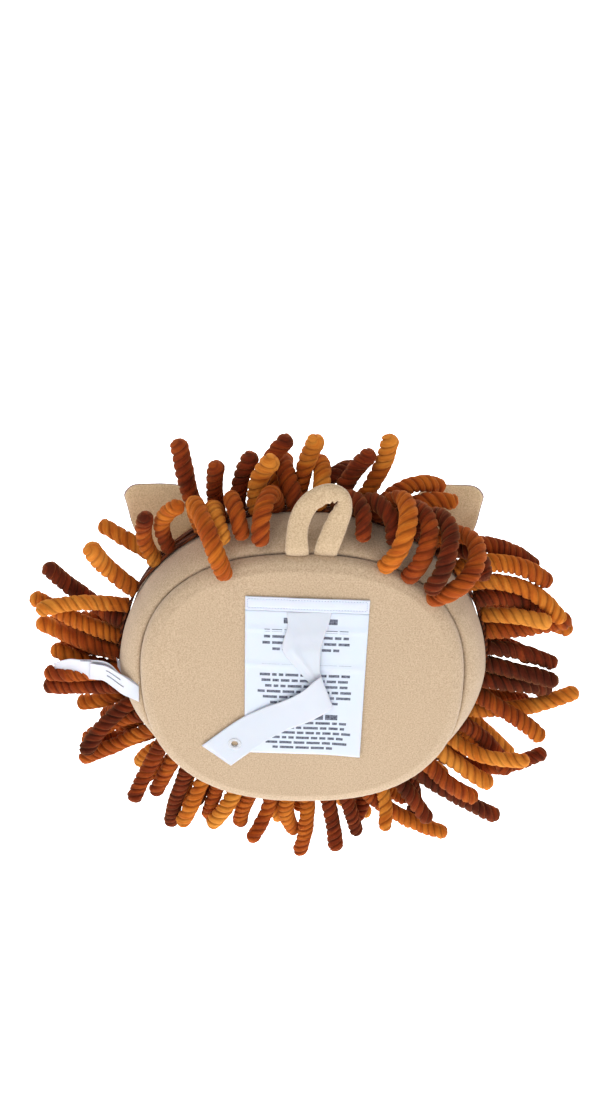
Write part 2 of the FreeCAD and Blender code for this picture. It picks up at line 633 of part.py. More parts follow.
def make_label():
    half = "Dims.label_width / 2"
    header = slab("hem", box_corners("-" + half, half, HEADER_LOW, "Dims.label_height / 2"),
                  "Dims.label_air / 2", "2 * Dims.satin")
    keep(lay_on_panel(header), "label_header")
    leaf = slab("leaf", box_corners("-" + half, half, "-Dims.label_height / 2", HEADER_LOW + " - 2 * Dims.fit_gap"),
                "Dims.label_air", "Dims.satin")
    keep(lay_on_panel(leaf), "back_label")


def make_header_thread():
    """Short straight stitches in two rows and down both sides of the hem, lying on it."""
    body = DOCUMENT.addObject("Part::Feature", "stitches")
    half, top = size("label_width") / 2, size("label_height") / 2
    inset, pitch, header = size("stitch_inset"), size("stitch_pitch"), size("header_height")
    lift = size("label_air") / 2 + 2 * size("satin")
    long, thick = pitch * 0.62, 0.4
    stitches = []
    count = int((2 * (half - inset)) / pitch)
    for k in range(count):
        x = -half + inset + (k + 0.5) * 2 * (half - inset) / count
        for z in (top - inset, top - header + inset):
            stitches.append(Part.makeBox(long, thick, thick, Vector(x - long / 2, lift, z - thick / 2)))
    rows = int((header - 2 * inset) / pitch)
    for k in range(rows):
        z = top - inset - (k + 0.5) * (header - 2 * inset) / rows
        for x in (-half + inset, half - inset):
            stitches.append(Part.makeBox(thick, thick, long, Vector(x - thick / 2, lift, z - long / 2)))
    body.Shape = Part.makeCompound(stitches)
    body.Placement = FreeCAD.Placement(Vector(size("label_x"), 0, size("label_z")),
                                       FreeCAD.Rotation(Vector(0, 1, 0), -size("label_tilt")))
    return keep(body, "header_thread")


# ------------------------------------------------------------------------------- ribbon and its eyelet
# Where the ribbon leaves the hem and where it twists, from the middle of the hem's lower edge.
STRIP_X = "-3.5"
STRIP_LOW = "(Dims.label_air * 2 + Dims.satin)"
TWIST_X, TWIST_Z = "-7", f"({HEADER_LOW} - 54)"
RUN_X, RUN_Z = f"({TWIST_X} + Dims.strip_run * cos(Dims.strip_slant))", f"({TWIST_Z} - Dims.strip_run * sin(Dims.strip_slant))"


def make_hang_strip():
    """A ribbon that runs down from the hem, narrows where it is twisted, and runs on down to +X."""
    half, across_x, across_z = "Dims.strip_width / 2", "sin(Dims.strip_slant)", "cos(Dims.strip_slant)"
    top = HEADER_LOW + " - 4 * Dims.fit_gap"
    corners = [
        (f"{STRIP_X} + {half}", top),
        (f"{STRIP_X} - {half}", top),
        (f"{TWIST_X} - Dims.strip_pinch * 0.6", f"{TWIST_Z} + 12"),
        (f"{TWIST_X} - Dims.strip_pinch * 1.15", f"{TWIST_Z} - 14"),
        (f"{TWIST_X} - Dims.strip_pinch * 0.5", f"{TWIST_Z} - 26"),
        (f"{RUN_X} - {half} * {across_x}", f"{RUN_Z} - {half} * {across_z}"),
        (f"{RUN_X} + {half} * {across_x}", f"{RUN_Z} + {half} * {across_z}"),
        (f"{TWIST_X} + Dims.strip_pinch * 0.5", f"{TWIST_Z} + 2"),
    ]
    body = slab("ribbon", corners, STRIP_LOW, "Dims.satin")
    hole = sketch_on(body, "eyelet_hole", "XZ_Plane", f"-({STRIP_LOW})")
    circle(hole, EYELET_X, EYELET_Z, "Dims.eyelet_bore_radius + Dims.eyelet_tube + 0.1")
    pocket(body, "eyelet_cut", hole, "Dims.satin")
    return keep(lay_on_panel(body), "hang_strip")


EYELET_X = f"({RUN_X} - Dims.eyelet_inset * cos(Dims.strip_slant))"
EYELET_Z = f"({RUN_Z} + Dims.eyelet_inset * sin(Dims.strip_slant))"


def ring(name, label, steps):
    """A turned ring on the eyelet's axis, its section given as radius and height pairs above the wall plane."""
    body = new_body(name)
    sketch = sketch_on(body, name + "_section", "XY_Plane")
    polygon(sketch, steps)
    turned = body.newObject("PartDesign::Revolution", name + "_turned")
    turned.Profile = sketch
    turned.ReferenceAxis = (sketch, ["V_Axis"])
    turned.Angle = 360
    DOCUMENT.recompute()
    tilt = math.radians(size("label_tilt"))
    body.Placement.Rotation = FreeCAD.Rotation(Vector(0, 1, 0), -size("label_tilt"))
    x, z = f"{EYELET_X} * {math.cos(tilt)}", f"{EYELET_Z} * {math.sin(tilt)}"
    up, side = f"{EYELET_Z} * {math.cos(tilt)}", f"{EYELET_X} * {math.sin(tilt)}"
    return keep(move(body, f"Dims.label_x + {x} - {z}", "0", f"Dims.label_z + {up} + {side}"), label)


def make_eyelet():
    """The eyelet's tube and upper flange, and the washer that it is pressed into under the ribbon."""
    bore, tube = "Dims.eyelet_bore_radius", "(Dims.eyelet_bore_radius + Dims.eyelet_tube)"
    under, over = "Dims.label_air", f"({STRIP_LOW} + Dims.satin + 0.05)"
    ring("eyelet", "strip_eyelet", [
        (bore, under), (tube, under), (tube, over), ("Dims.eyelet_flange_radius - 0.3", over),
        ("Dims.eyelet_flange_radius", f"{over} + 0.3"), ("Dims.eyelet_flange_radius - 0.6", f"{over} + Dims.eyelet_flange"),
        (bore + " + 0.3", f"{over} + Dims.eyelet_flange"), (bore, f"{over} + Dims.eyelet_flange - 0.25")])
    ring("snap_ring", "eyelet_washer", [
        (tube + " + 0.02", under), ("Dims.eyelet_flange_radius - 0.4", under),
        ("Dims.eyelet_flange_radius", f"{STRIP_LOW} - 0.05"), (tube + " + 0.02", f"{STRIP_LOW} - 0.05")])


# ------------------------------------------------------------------------------------- care label
def gusset_reach(depth, margin):
    """Distance from the Y axis to just outside the gusset's side, at a depth behind the widest place."""
    share = min(1.0, max(0.0, (depth - size("rim_depth") - size("fit_gap"))
                         / (size("bulge_depth") - size("rim_depth"))))
    return size("panel_half_width") + size("bulge_side") * math.sqrt(1 - (1 - share) ** 2) + margin


def leaf_solid(points, thickness, width):
    """A thin leaf: a line of points in the XY plane thickened on its rear side and raised to its width."""
    outline = list(points)
    for k in reversed(range(len(points))):
        before, after = points[max(k - 1, 0)], points[min(k + 1, len(points) - 1)]
        along = (after - before).normalize()
        outline.append(points[k] + Vector(-along.y, along.x, 0) * thickness)
    face = Part.Face(Part.makePolygon(outline + [outline[0]]))
    solid = face.extrude(Vector(0, 0, width))
    solid.translate(Vector(0, 0, -width / 2))
    return solid


def care_line(margin, free, tip_depth):
    """The line of a leaf: from the side seam over the gusset's shoulder, then out past it."""
    line = [Vector(gusset_reach(size("rim_depth"), margin) + 1.0, -size("rim_depth") + margin + 0.5, 0)]
    for depth in (9.2, 11.5, 15.0, 20.0):
        line.append(Vector(gusset_reach(depth, margin + 0.8), -depth + margin * 0.8, 0))
    reach = line[-1].x
    line.append(Vector(reach + free * 0.5, -(size("rim_depth") + tip_depth) / 2 - 8, 0))
    line.append(Vector(reach + free, -tip_depth, 0))
    return line


def make_care_label():
    """Three leaves of one folded label: two stand out over the mane and the third hugs the gusset."""
    thick, width = size("care_thickness"), size("care_width")
    leaves = [("care_leaf_long", care_line(1.0, size("care_long"), 31), 0.0, width),
              ("care_leaf_short", care_line(2.0, size("care_short"), 19), 0.0, width)]
    for label, line, lift, wide in leaves:
        body = DOCUMENT.addObject("Part::Feature", label + "_shape")
        body.Shape = leaf_solid(line, thick, wide)
        body.Placement = FreeCAD.Placement(Vector(0, 0, size("care_z") + lift), FreeCAD.Rotation())
        keep(body, label)
    flap = DOCUMENT.addObject("Part::Feature", "care_flap_shape")
    line = [Vector(gusset_reach(d, 0.35), -d + 0.3, 0) for d in (8.6, 9.6, 11.5, 14.5, 19.0, 25.0, 31.0)]
    flap.Shape = leaf_solid(line, 0.35, width * 0.8)
    flap.Placement = FreeCAD.Placement(Vector(0, 0, size("care_z") + width * 0.45), FreeCAD.Rotation())
    keep(flap, "care_flap")


# ------------------------------------------------------------------------------------------------ mane
def make_mane_tape(row):
    """A woven tape round the head's widest band, under one row of yarn fingers."""
    body = new_body(f"tape_{row}")
    start = f"Dims.{row}_row_depth - Dims.tape_width / 2"
    wide, high = "Dims.panel_half_width + Dims.bulge_side", "Dims.panel_half_height + Dims.bulge_top"
    outer = "+ Dims.fit_gap + Dims.tape_thickness"
    pad(body, f"tape_{row}_round", ellipse(body, f"tape_{row}_outer", start, wide + outer, high + outer), "Dims.tape_width")
    bore = ellipse(body, f"tape_{row}_inner", start, wide + "+ Dims.fit_gap", high + "+ Dims.fit_gap")
    pocket(body, f"tape_{row}_bore", bore, "Dims.tape_width", reverse=True)
    return keep(body, f"mane_tape_{row}")


SAMPLES = 12
ROUNDS = 90


class Finger:
    """One yarn finger: an arc from its root, leaving along start, with its tip in direction aim."""

    def __init__(self, row, place, root, out, length):
        self.row = row
        self.place = place
        self.root = root
        self.out = out
        self.length = length
        self.start = Vector(out)
        self.aim = Vector(out)
        self.chosen = False

    def arc(self):
        """Half the bend in radians, and the unit vector that the start bends towards."""
        side = self.aim - self.start * self.aim.dot(self.start)
        if side.Length < 0.02:
            side = self.start.cross(Vector(0.3, 0.9, 0.2))
        half_bend = max(0.03, math.acos(max(-1.0, min(1.0, self.start.dot(self.aim)))))
        return half_bend, side.normalize()

    def points(self):
        half_bend, side = self.arc()
        radius = self.length / 2 / half_bend
        made = []
        for k in range(SAMPLES + 1):
            angle = 2 * half_bend * k / SAMPLES
            along, across = radius * math.sin(angle), radius * (1 - math.cos(angle))
            made.append(self.root + self.start * along + side * across)
        return made


def ring_places(count, half_width, half_height, shift):
    """Points evenly spaced along an ellipse, as (angle in degrees, x, z)."""
    fine = 1440
    line = [(half_width * math.cos(2 * math.pi * k / fine), half_height * math.sin(2 * math.pi * k / fine))
            for k in range(fine + 1)]
    along = [0.0]
    for (x0, z0), (x1, z1) in zip(line, line[1:]):
        along.append(along[-1] + math.hypot(x1 - x0, z1 - z0))
    made = []
    k = 0
    for number in range(count):
        wanted = along[-1] * (number + shift) / count
        while along[k + 1] < wanted:
            k += 1
        x, z = line[k]
        made.append((math.degrees(math.atan2(z, x)) % 360, x, z))
    return made


def tilted(out, splay, lift):
    """The outward direction turned round the head by splay and towards the wall by lift, in degrees."""
    round_head = Vector(-out.z, 0, out.x)
    made = out + round_head * math.tan(math.radians(splay)) + Vector(0, 1, 0) * math.tan(math.radians(lift))
    return made.normalize()


# How far a finger may lean at its root, so that its foot stays within the tape: the tangent of the angle.
ROOT_LEAN = 0.33


def upright_start(out, wanted):
    """The wanted direction, brought nearer to straight out where it leans too far."""
    rise = max(wanted.dot(out), 0.2)
    lean = wanted - out * wanted.dot(out)
    if lean.Length > rise * ROOT_LEAN:
        lean = lean * (rise * ROOT_LEAN / lean.Length)
    return (out * rise + lean).normalize()


def lean_range(row, angle):
    """Least and greatest lean towards the wall of an unchosen finger: at the top they flop over the face."""
    on_top = 38 < angle < 142
    if row == "front":
        return (-82, -72) if on_top else (-26, 4)
    return (-72, -60) if on_top else (-12, 16)


def in_front_of_an_ear(finger):
    """True beside an ear's seam, where only chosen fingers are sewn in, so that the ear can tip."""
    turn = abs(finger.place - 90)
    return 26 < turn < 74 if finger.row == "front" else 31 < turn < 62


def mane_fingers():
    """All fingers of both rows: a free scatter, then the chosen ones, then eased apart until none touch."""
    rise = size("fit_gap") + size("tape_thickness")
    half_width = size("panel_half_width") + size("bulge_side") + rise
    half_height = size("panel_half_height") + size("bulge_top") + rise
    draw = random.Random(11)
    fingers = []
    for row, shift in (("back", 0.25), ("front", 0.75)):
        for angle, x, z in ring_places(int(size(f"{row}_row_count")), half_width, half_height, shift):
            out = Vector(x / half_width**2, 0, z / half_height**2).normalize()
            root = Vector(x, -size(f"{row}_row_depth"), z)
            length = size("finger_length") * draw.uniform(0.84, 1.14) * (0.86 if 235 < angle < 305 else 1.0)
            finger = Finger(row, angle, root, out, length)
            splay, lift = draw.gauss(0, 15), draw.uniform(*lean_range(row, angle))
            finger.start = upright_start(out, tilted(out, splay + draw.gauss(0, 26), lift + draw.gauss(0, 12)))
            droop = Vector(0, 0, -0.22 * abs(math.cos(math.radians(angle))))
            finger.aim = (tilted(out, splay, lift) + droop).normalize()
            fingers.append(finger)
    for row, angle, x, y, z, straight in CHOSEN:
        free = [f for f in fingers if f.row == row and not f.chosen]
        finger = min(free, key=lambda f: abs((f.place - angle + 180) % 360 - 180))
        tip = Vector(x, y, z)
        finger.aim = (tip - finger.root).normalize()
        finger.start = upright_start(finger.out, finger.out * straight + finger.aim * (1 - straight) * 1.2)
        half_bend = max(0.03, math.acos(finger.start.dot(finger.aim)))
        reach = (tip - finger.root).Length * half_bend / math.sin(half_bend)
        finger.length = min(92.0, max(40.0, reach))
        finger.chosen = True
    fingers = [f for f in fingers if f.chosen or not in_front_of_an_ear(f)]
    for step in range(ROUNDS):
        ease_apart(fingers)
    return fingers


def ease_apart(fingers):
    """Turns each finger a little away from the neighbours, the head, the ears, the loop and the labels."""
    near = size("finger_diameter") + 1.3
    lines = [f.points() for f in fingers]
    cells = {}
    for i, line in enumerate(lines):
        for k in range(1, SAMPLES + 1):
            p = line[k]
            cells.setdefault((int(p.x // near), int(p.y // near), int(p.z // near)), []).append((i, k, p))
    push = [[Vector(0, 0, 0) for _ in range(SAMPLES + 1)] for _ in fingers]
    for (cx, cy, cz), members in cells.items():
        around = []
        for dx in (-1, 0, 1):
            for dy in (-1, 0, 1):
                for dz in (-1, 0, 1):
                    around.extend(cells.get((cx + dx, cy + dy, cz + dz), ()))
        for i, k, p in members:
            for j, m, q in around:
                if j <= i:
                    continue
                apart = p - q
                far = apart.Length
                if far < near:
                    shove = apart * ((near - far) / max(far, 0.01) / 2)
                    push[i][k] += shove
                    push[j][m] -= shove
    for finger, line, shoves in zip(fingers, lines, push):
        for k in range(2, SAMPLES + 1):
            shoves[k] += keep_clear(line[k], finger)
        settle(finger, shoves)


def settle(finger, shoves):
    """Adds up the shoves along a finger and turns its start and its tip by them."""
    tip_turn, start_turn = Vector(0, 0, 0), Vector(0, 0, 0)
    for k, shove in enumerate(shoves):
        share = k / SAMPLES
        tip_turn += shove * share**2
        start_turn += shove * share * (1 - share)
    firm = 0.35 if finger.chosen else 1.0
    finger.aim = (finger.aim + tip_turn * (firm * 0.22 / finger.length)).normalize()
    finger.start = upright_start(finger.out, finger.start + start_turn * (0.9 / finger.length))


def keep_clear(p, finger):
    """How a point of a finger has to move to clear the head and the pieces beside the mane."""
    radius = size("finger_diameter") / 2
    wide = size("panel_half_width") + size("bulge_side")
    high = size("panel_half_height") + size("bulge_top")
    move_by = Vector(0, 0, 0)
    depth = -p.y
    margin = radius + 0.8
    if depth > size("seam_depth"):
        share = (depth - size("seam_depth")) / size("face_depth")
        level = math.sqrt((p.x / (wide + margin)) ** 2 + (p.z / (high + margin)) ** 2 + share**2)
        if level < 1:
            move_by += Vector(p.x, 0, p.z) * (1 / max(level, 0.3) - 1)
    else:
        swell = min(1.0, max(0.0, (depth + margin - size("rim_depth")) / (size("bulge_depth") - size("rim_depth"))))
        grow = math.sqrt(1 - (1 - swell) ** 2)
        a = size("panel_half_width") + size("bulge_side") * grow + margin
        b = size("panel_half_height") + size("bulge_top") * grow + margin
        level = math.hypot(p.x / a, p.z / b)
        if level < 1:
            if depth < size("rim_depth") + 6:
                move_by += Vector(0, depth + margin, 0) if depth > -margin else Vector(0, 0, 0)
            else:
                move_by += Vector(p.x, 0, p.z) * (1 / max(level, 0.3) - 1)
    if not finger.chosen and depth < margin + 8:
        move_by += Vector(0, depth - margin - 8, 0)
    # the hanging loop and the room in which it swings
    loop_left = size("loop_start") - size("loop_big_radius") - size("loop_small_radius") - size("strap_width") / 2
    loop_right = size("loop_start") + size("strap_width") / 2
    foot = size("panel_half_height") + 1.5
    if loop_left - margin < p.x < loop_right + margin and p.z > foot - 4:
        room = 1.5 + size("strap_thickness") + margin + (p.z - foot) * math.tan(math.radians(12))
        if depth < room:
            if p.x > loop_right or p.x < loop_left:
                side = 1 if p.x > loop_right else -1
                edge = loop_right + margin if side > 0 else loop_left - margin
                move_by += Vector(edge - p.x, 0, 0)
            else:
                move_by += Vector(0, depth - room, 0)
    # the care label over the mane
    if p.x > wide - 8 and abs(p.z - size("care_z")) < size("care_width") / 2 + margin:
        room = 33 + margin
        if depth < room:
            move_by += Vector(0, depth - room, 0)
    # the ears, and the room in which they tip back
    ear_x, ear_z = size("ear_spread") + 20, 92
    if math.hypot(abs(p.x) - ear_x + 10, p.z - ear_z) < 44 and abs(p.x) > 50:
        room = size("ear_depth") - size("ear_layer") - 7.5 - margin
        if depth > room:
            move_by += Vector(0, depth - room, 0)
    return move_by


def finger_solid(finger):
    """A round tube along the finger's arc with a round end."""
    half_bend, side = finger.arc()
    bend = 2 * half_bend
    radius = finger.length / bend
    thick = size("finger_diameter") / 2
    axis = finger.start.cross(side)
    section = Part.Face(Part.Wire(Part.Circle(finger.root, finger.start, thick).toShape()))
    tube = section.revolve(finger.root + side * radius, axis, math.degrees(bend))
    tip = finger.root + finger.start * (radius * math.sin(bend)) + side * (radius * (1 - math.cos(bend)))
    onward = finger.start * math.cos(bend) + side * math.sin(bend)
    cap = Part.makeSphere(thick, tip, onward, 0, 90, 360)
    whole = tube.fuse(cap)
    made = whole.Solids[0]
    if len(whole.Solids) != 1 or not made.isValid():
        raise RuntimeError(f"a finger of the {finger.row} row at {finger.place:.0f} degrees is not one solid")
    return made


SECTORS = 12


def make_mane():
    """The fingers, in one node for each row and each twelfth of the way round."""
    groups = {}
    fingers = mane_fingers()
    for row in ("back", "front"):
        members = [f for f in fingers if f.row == row]
        for number, finger in enumerate(members):
            sector = number * SECTORS // len(members) + 1
            groups.setdefault(f"mane_{row}_{sector:02d}", []).append(finger_solid(finger))
    for label, solids in groups.items():
        body = DOCUMENT.addObject("Part::Feature", label + "_shape")
        body.Shape = Part.makeCompound(solids)
        body.Placement = FreeCAD.Placement(Vector(0, 0, 0), FreeCAD.Rotation())
        keep(body, label)


# ----------------------------------------------------------------------------------------- the whole
def build():
    make_back_panel()
    make_backing_board()
    make_side_gusset()
    make_face_and_filling()
    make_muzzle()
    make_nose()
    make_ears()
    make_hanging_loop()
    make_label()
    make_header_thread()
    make_hang_strip()
    make_eyelet()
    make_care_label()
    for row in ("back", "front"):
        make_mane_tape(row)
    make_mane()
    DOCUMENT.recompute()


def check():
    """Stops if any object of the document failed or any sub-part has no sound shape."""
    for obj in DOCUMENT.Objects:
        if "Invalid" in obj.State or "Error" in obj.State:
            raise RuntimeError(f"{obj.Name} ({obj.Label}) failed: {obj.State}")
    for part in PARTS:
        if part.Shape.isNull() or not part.Shape.isValid() or not part.Shape.Solids:
            raise RuntimeError(f"{part.Label} has no sound shape")


def write():
    os.makedirs("parts", exist_ok=True)
    for part in PARTS:
        part.Shape.exportStep(f"parts/{part.Label}.step")
        print(f"{part.Label}: {len(part.Shape.Solids)} solids, {part.Shape.Volume:.1f} mm3")


build()
check()
write()
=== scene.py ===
"""Looks of a plush lion head that hangs on a wall: fleece, yarn mane, satin labels and the studio around it.

Everything is in metres in the frame's own axes: +Z up, the face looks along -Y, and the rear panel's back lies
in the plane Y = 0. Names that end in _mm are millimetres. "Depth" is the distance from that plane to the face.
"""

import json
import math
import random

import bpy
import numpy as np
from mathutils import Matrix, Vector, noise


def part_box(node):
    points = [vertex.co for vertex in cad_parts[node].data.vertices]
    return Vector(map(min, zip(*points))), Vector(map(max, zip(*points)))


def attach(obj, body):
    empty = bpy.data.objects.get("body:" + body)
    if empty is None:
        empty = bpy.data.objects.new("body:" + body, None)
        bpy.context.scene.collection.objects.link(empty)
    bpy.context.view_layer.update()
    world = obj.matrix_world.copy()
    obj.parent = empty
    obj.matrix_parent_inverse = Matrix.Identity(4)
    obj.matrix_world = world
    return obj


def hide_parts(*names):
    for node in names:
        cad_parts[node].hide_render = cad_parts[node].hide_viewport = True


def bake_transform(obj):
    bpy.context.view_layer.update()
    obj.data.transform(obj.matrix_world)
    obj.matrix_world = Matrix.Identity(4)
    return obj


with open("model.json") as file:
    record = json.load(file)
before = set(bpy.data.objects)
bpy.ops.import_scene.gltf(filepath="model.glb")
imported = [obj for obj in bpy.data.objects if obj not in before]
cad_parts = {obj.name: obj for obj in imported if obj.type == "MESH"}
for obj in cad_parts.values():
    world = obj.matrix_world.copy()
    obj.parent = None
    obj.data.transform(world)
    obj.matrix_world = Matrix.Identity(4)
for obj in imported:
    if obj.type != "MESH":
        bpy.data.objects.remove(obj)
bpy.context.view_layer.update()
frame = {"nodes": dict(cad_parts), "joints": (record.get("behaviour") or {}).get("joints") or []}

bl_info = {
    "name": "Plush Lion Head",
    "version": (1, 0, 0),
    "blender": (4, 5, 0),
    "location": "View3D > Sidebar > Lion Head",
    "description": "Builds the fleece, yarn and satin of a plush lion head around its packed frame",
    "category": "Add Mesh",
}

MM = 0.001


def half_size(node):
    """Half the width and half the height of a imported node, in metres."""
    low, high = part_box(node)
    return (high.x - low.x) / 2, (high.z - low.z) / 2


PANEL_WIDE, PANEL_HIGH = half_size("back_panel")
HEAD_WIDE, HEAD_HIGH = half_size("side_gusset")
RIM_DEPTH = -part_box("back_panel")[0].y
SEAM_DEPTH = -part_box("side_gusset")[0].y
FACE_DEPTH = -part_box("face_panel")[0].y - SEAM_DEPTH
BULGE_DEPTH = 36 * MM


# ------------------------------------------------------------------------------------------- settings
def measure(name, text, value_mm):
    """A length that can be set in the sidebar."""
    return bpy.props.FloatProperty(name=name, description=text, default=value_mm * MM, unit="LENGTH", precision=5)


def tint(name, text, code):
    """A colour that can be set in the sidebar, as an sRGB hex code."""
    return bpy.props.StringProperty(name=name, description=f"sRGB hex of {text}", default=code)


class FleeceSettings(bpy.types.PropertyGroup):
    """Colours and pile of the fleece."""

    # the tips' tint is painted light and the roots' tint painted shade; the pile's colour follows its own bump
    light: tint("Pile tips", "the lit tips", "#c9b194")
    deep: tint("Pile roots", "the roots between the tips", "#a88f73")
    nub: measure("Nub size", "Width of one nub of the brushed pile", 0.85)
    pucker: measure("Puckers", "Height of the small folds beside the panel's seam", 0.9)


class YarnSettings(bpy.types.PropertyGroup):
    """Twist, thickness and dye of the mane's yarn."""

    width: measure("Width", "Widest measure across the three plies", 11.4)
    pitch: measure("Pitch", "Length of one full turn of the plies", 16.5)
    sides: bpy.props.IntProperty(name="Sides", description="Points round a finger", default=24, min=8)
    step: measure("Step", "Distance between rings along a finger", 1.1)
    seed: bpy.props.IntProperty(name="Seed", description="Start of the random draws", default=5)


class LabelSettings(bpy.types.PropertyGroup):
    """Cloth of the labels and of the ribbon."""

    satin: tint("Label", "the large label", "#cfd5e3")
    ribbon: tint("Ribbon", "the ribbon", "#c9ccd7")
    ink: tint("Bars", "the grey bars", "#2c2f3d")
    thickness: measure("Thickness", "Thickness of the label cloth", 0.3)


class StageSettings(bpy.types.PropertyGroup):
    """Camera, lamps and backdrop."""

    lens: bpy.props.FloatProperty(
        name="Lens", description="Focal length on a 36 mm frame", default=27.18, subtype="DISTANCE_CAMERA")
    paper: tint("Backdrop", "the paper", "#ffffff")
    glow: bpy.props.FloatProperty(name="Sky", description="Strength of the even light", default=0.6)
    key: bpy.props.FloatProperty(
        name="Key lamp", description="Power of the large lamp", default=3.9, unit="POWER")


# -------------------------------------------------------------------------------------- small helpers
def linear(code):
    """A linear colour from an sRGB hex code."""
    channels = [int(code[k : k + 2], 16) / 255 for k in (1, 3, 5)]
    return [c / 12.92 if c <= 0.04045 else ((c + 0.055) / 1.055) ** 2.4 for c in channels] + [1.0]


def add(tree, kind, inputs=(), stops=(), **settings):
    """Adds a node to a tree, with its settings, its ramp's stops, and values or links for its inputs."""
    made = tree.nodes.new(kind)
    for name, value in settings.items():
        setattr(made, name, value)
    for name, value in dict(inputs).items():
        if isinstance(value, bpy.types.NodeSocket):
            tree.links.new(value, made.inputs[name])
        else:
            made.inputs[name].default_value = value
    for k, (position, code) in enumerate(stops):
        elements = made.color_ramp.elements
        element = elements[k] if k < 2 else elements.new(position)
        element.position, element.color = position, linear(code)
    return made


def new_material(name):
    """An empty material with its shader and its tree."""
    made = bpy.data.materials.new(name)
    made.use_nodes = True
    tree = made.node_tree
    tree.nodes.clear()
    shader = add(tree, "ShaderNodeBsdfPrincipled")
    add(tree, "ShaderNodeOutputMaterial", {"Surface": shader.outputs["BSDF"]})
    return made, tree, shader


def set_shader(tree, shader, colour, bump=None, strength=0.3, distance=0.0005, **values):
    """Links or sets a shader's colour, adds a bump, and sets its constant sockets."""
    if isinstance(colour, bpy.types.NodeSocket):
        tree.links.new(colour, shader.inputs["Base Color"])
    else:
        shader.inputs["Base Color"].default_value = colour
    for name, value in values.items():
        shader.inputs[name.replace("_", " ").title().replace("Ior", "IOR")].default_value = value
    if bump is not None:
        made = add(tree, "ShaderNodeBump", {"Height": bump, "Strength": strength, "Distance": distance})
        tree.links.new(made.outputs["Normal"], shader.inputs["Normal"])


def add_mesh(name, points, faces, *materials, smooth=True):
    """A mesh object from points in metres."""
    mesh = bpy.data.meshes.new(name)
    mesh.from_pydata([tuple(p) for p in points], [], [tuple(f) for f in faces])
    for material in materials:
        mesh.materials.append(material)
    mesh.polygons.foreach_set("use_smooth", [smooth] * len(mesh.polygons))
    mesh.validate()
    mesh.update()
    made = bpy.data.objects.new(name, mesh)
    bpy.context.scene.collection.objects.link(made)
    return made


def ring_faces(rings, count, closed=False, first=0):
    """Quads between rings of equal count, numbered one after another."""
    faces = []
    for r in range(rings if closed else rings - 1):
        here, there = first + r * count, first + (r + 1) % rings * count
        for k in range(count):
            following = (k + 1) % count
            faces.append((here + k, here + following, there + following, there + k))
    return faces


def capped(rings, start, end):
    """Points and faces of a closed skin through rings, with a single point at each end."""
    count = len(rings[0])
    points = [p for ring in rings for p in ring]
    faces = ring_faces(len(rings), count)
    low, high = len(points), len(points) + 1
    points += [start, end]
    last = (len(rings) - 1) * count
    for k in range(count):
        following = (k + 1) % count
        faces.append((low, following, k))
        faces.append((high, last + k, last + following))
    return points, faces


def cloth(name, grid, thickness, *materials):
    """A closed sheet: a grid of points thickened evenly to both sides, with its cut edges."""
    grid = np.asarray(grid, float)
    rows, columns = grid.shape[:2]
    along, across = np.gradient(grid, axis=0), np.gradient(grid, axis=1)
    normal = np.cross(along, across)
    normal /= np.maximum(np.linalg.norm(normal, axis=2, keepdims=True), 1e-12)
    top, under = grid + normal * thickness / 2, grid - normal * thickness / 2
    points = np.concatenate([top.reshape(-1, 3), under.reshape(-1, 3)])
    size = rows * columns
    faces = []
    for r in range(rows - 1):
        for c in range(columns - 1):
            a = r * columns + c
            quad = (a, a + columns, a + columns + 1, a + 1)
            faces.append(quad)
            faces.append(tuple(size + k for k in reversed(quad)))
    edge = [c for c in range(columns)]
    edge += [r * columns + columns - 1 for r in range(1, rows)]
    edge += [(rows - 1) * columns + c for c in range(columns - 2, -1, -1)]
    edge += [r * columns for r in range(rows - 2, 0, -1)]
    for k, a in enumerate(edge):
        b = edge[(k + 1) % len(edge)]
        faces.append((a, b, size + b, size + a))
    return add_mesh(name, points, faces, *materials)


def spline(points, count):
    """Evenly numbered points on a smooth curve through control points of any dimension."""
    points = np.asarray(points, float)
    padded = np.vstack([2 * points[0] - points[1], points, 2 * points[-1] - points[-2]])
    made = []
    for k in range(count):
        at = k / (count - 1) * (len(points) - 1)
        i = min(int(at), len(points) - 2)
        t = at - i
        a, b, c, d = padded[i : i + 4]
        curve = (2 * a - 5 * b + 4 * c - d) * t**2 + (3 * b - a - 3 * c + d) * t**3
        made.append(0.5 * (2 * b + (c - a) * t + curve))
    return np.array(made)


def frames_along(points):
    """Two directions across a path at each point, carried along it without twist."""
    points = [Vector(p) for p in points]
    tangents = []
    for k in range(len(points)):
        ahead, behind = points[min(k + 1, len(points) - 1)], points[max(k - 1, 0)]
        tangents.append((ahead - behind).normalized())
    side = tangents[0].orthogonal().normalized()
    made = []
    for tangent in tangents:
        side = (side - tangent * side.dot(tangent)).normalized()
        made.append((side, tangent.cross(side)))
    return made


def rough(point, size, seed=0.0):
    """Smooth noise from -1 to 1 with features of a given size."""
    return noise.noise(Vector(point) / size + Vector((seed * 7.3, seed * 3.1, seed * 5.7)))


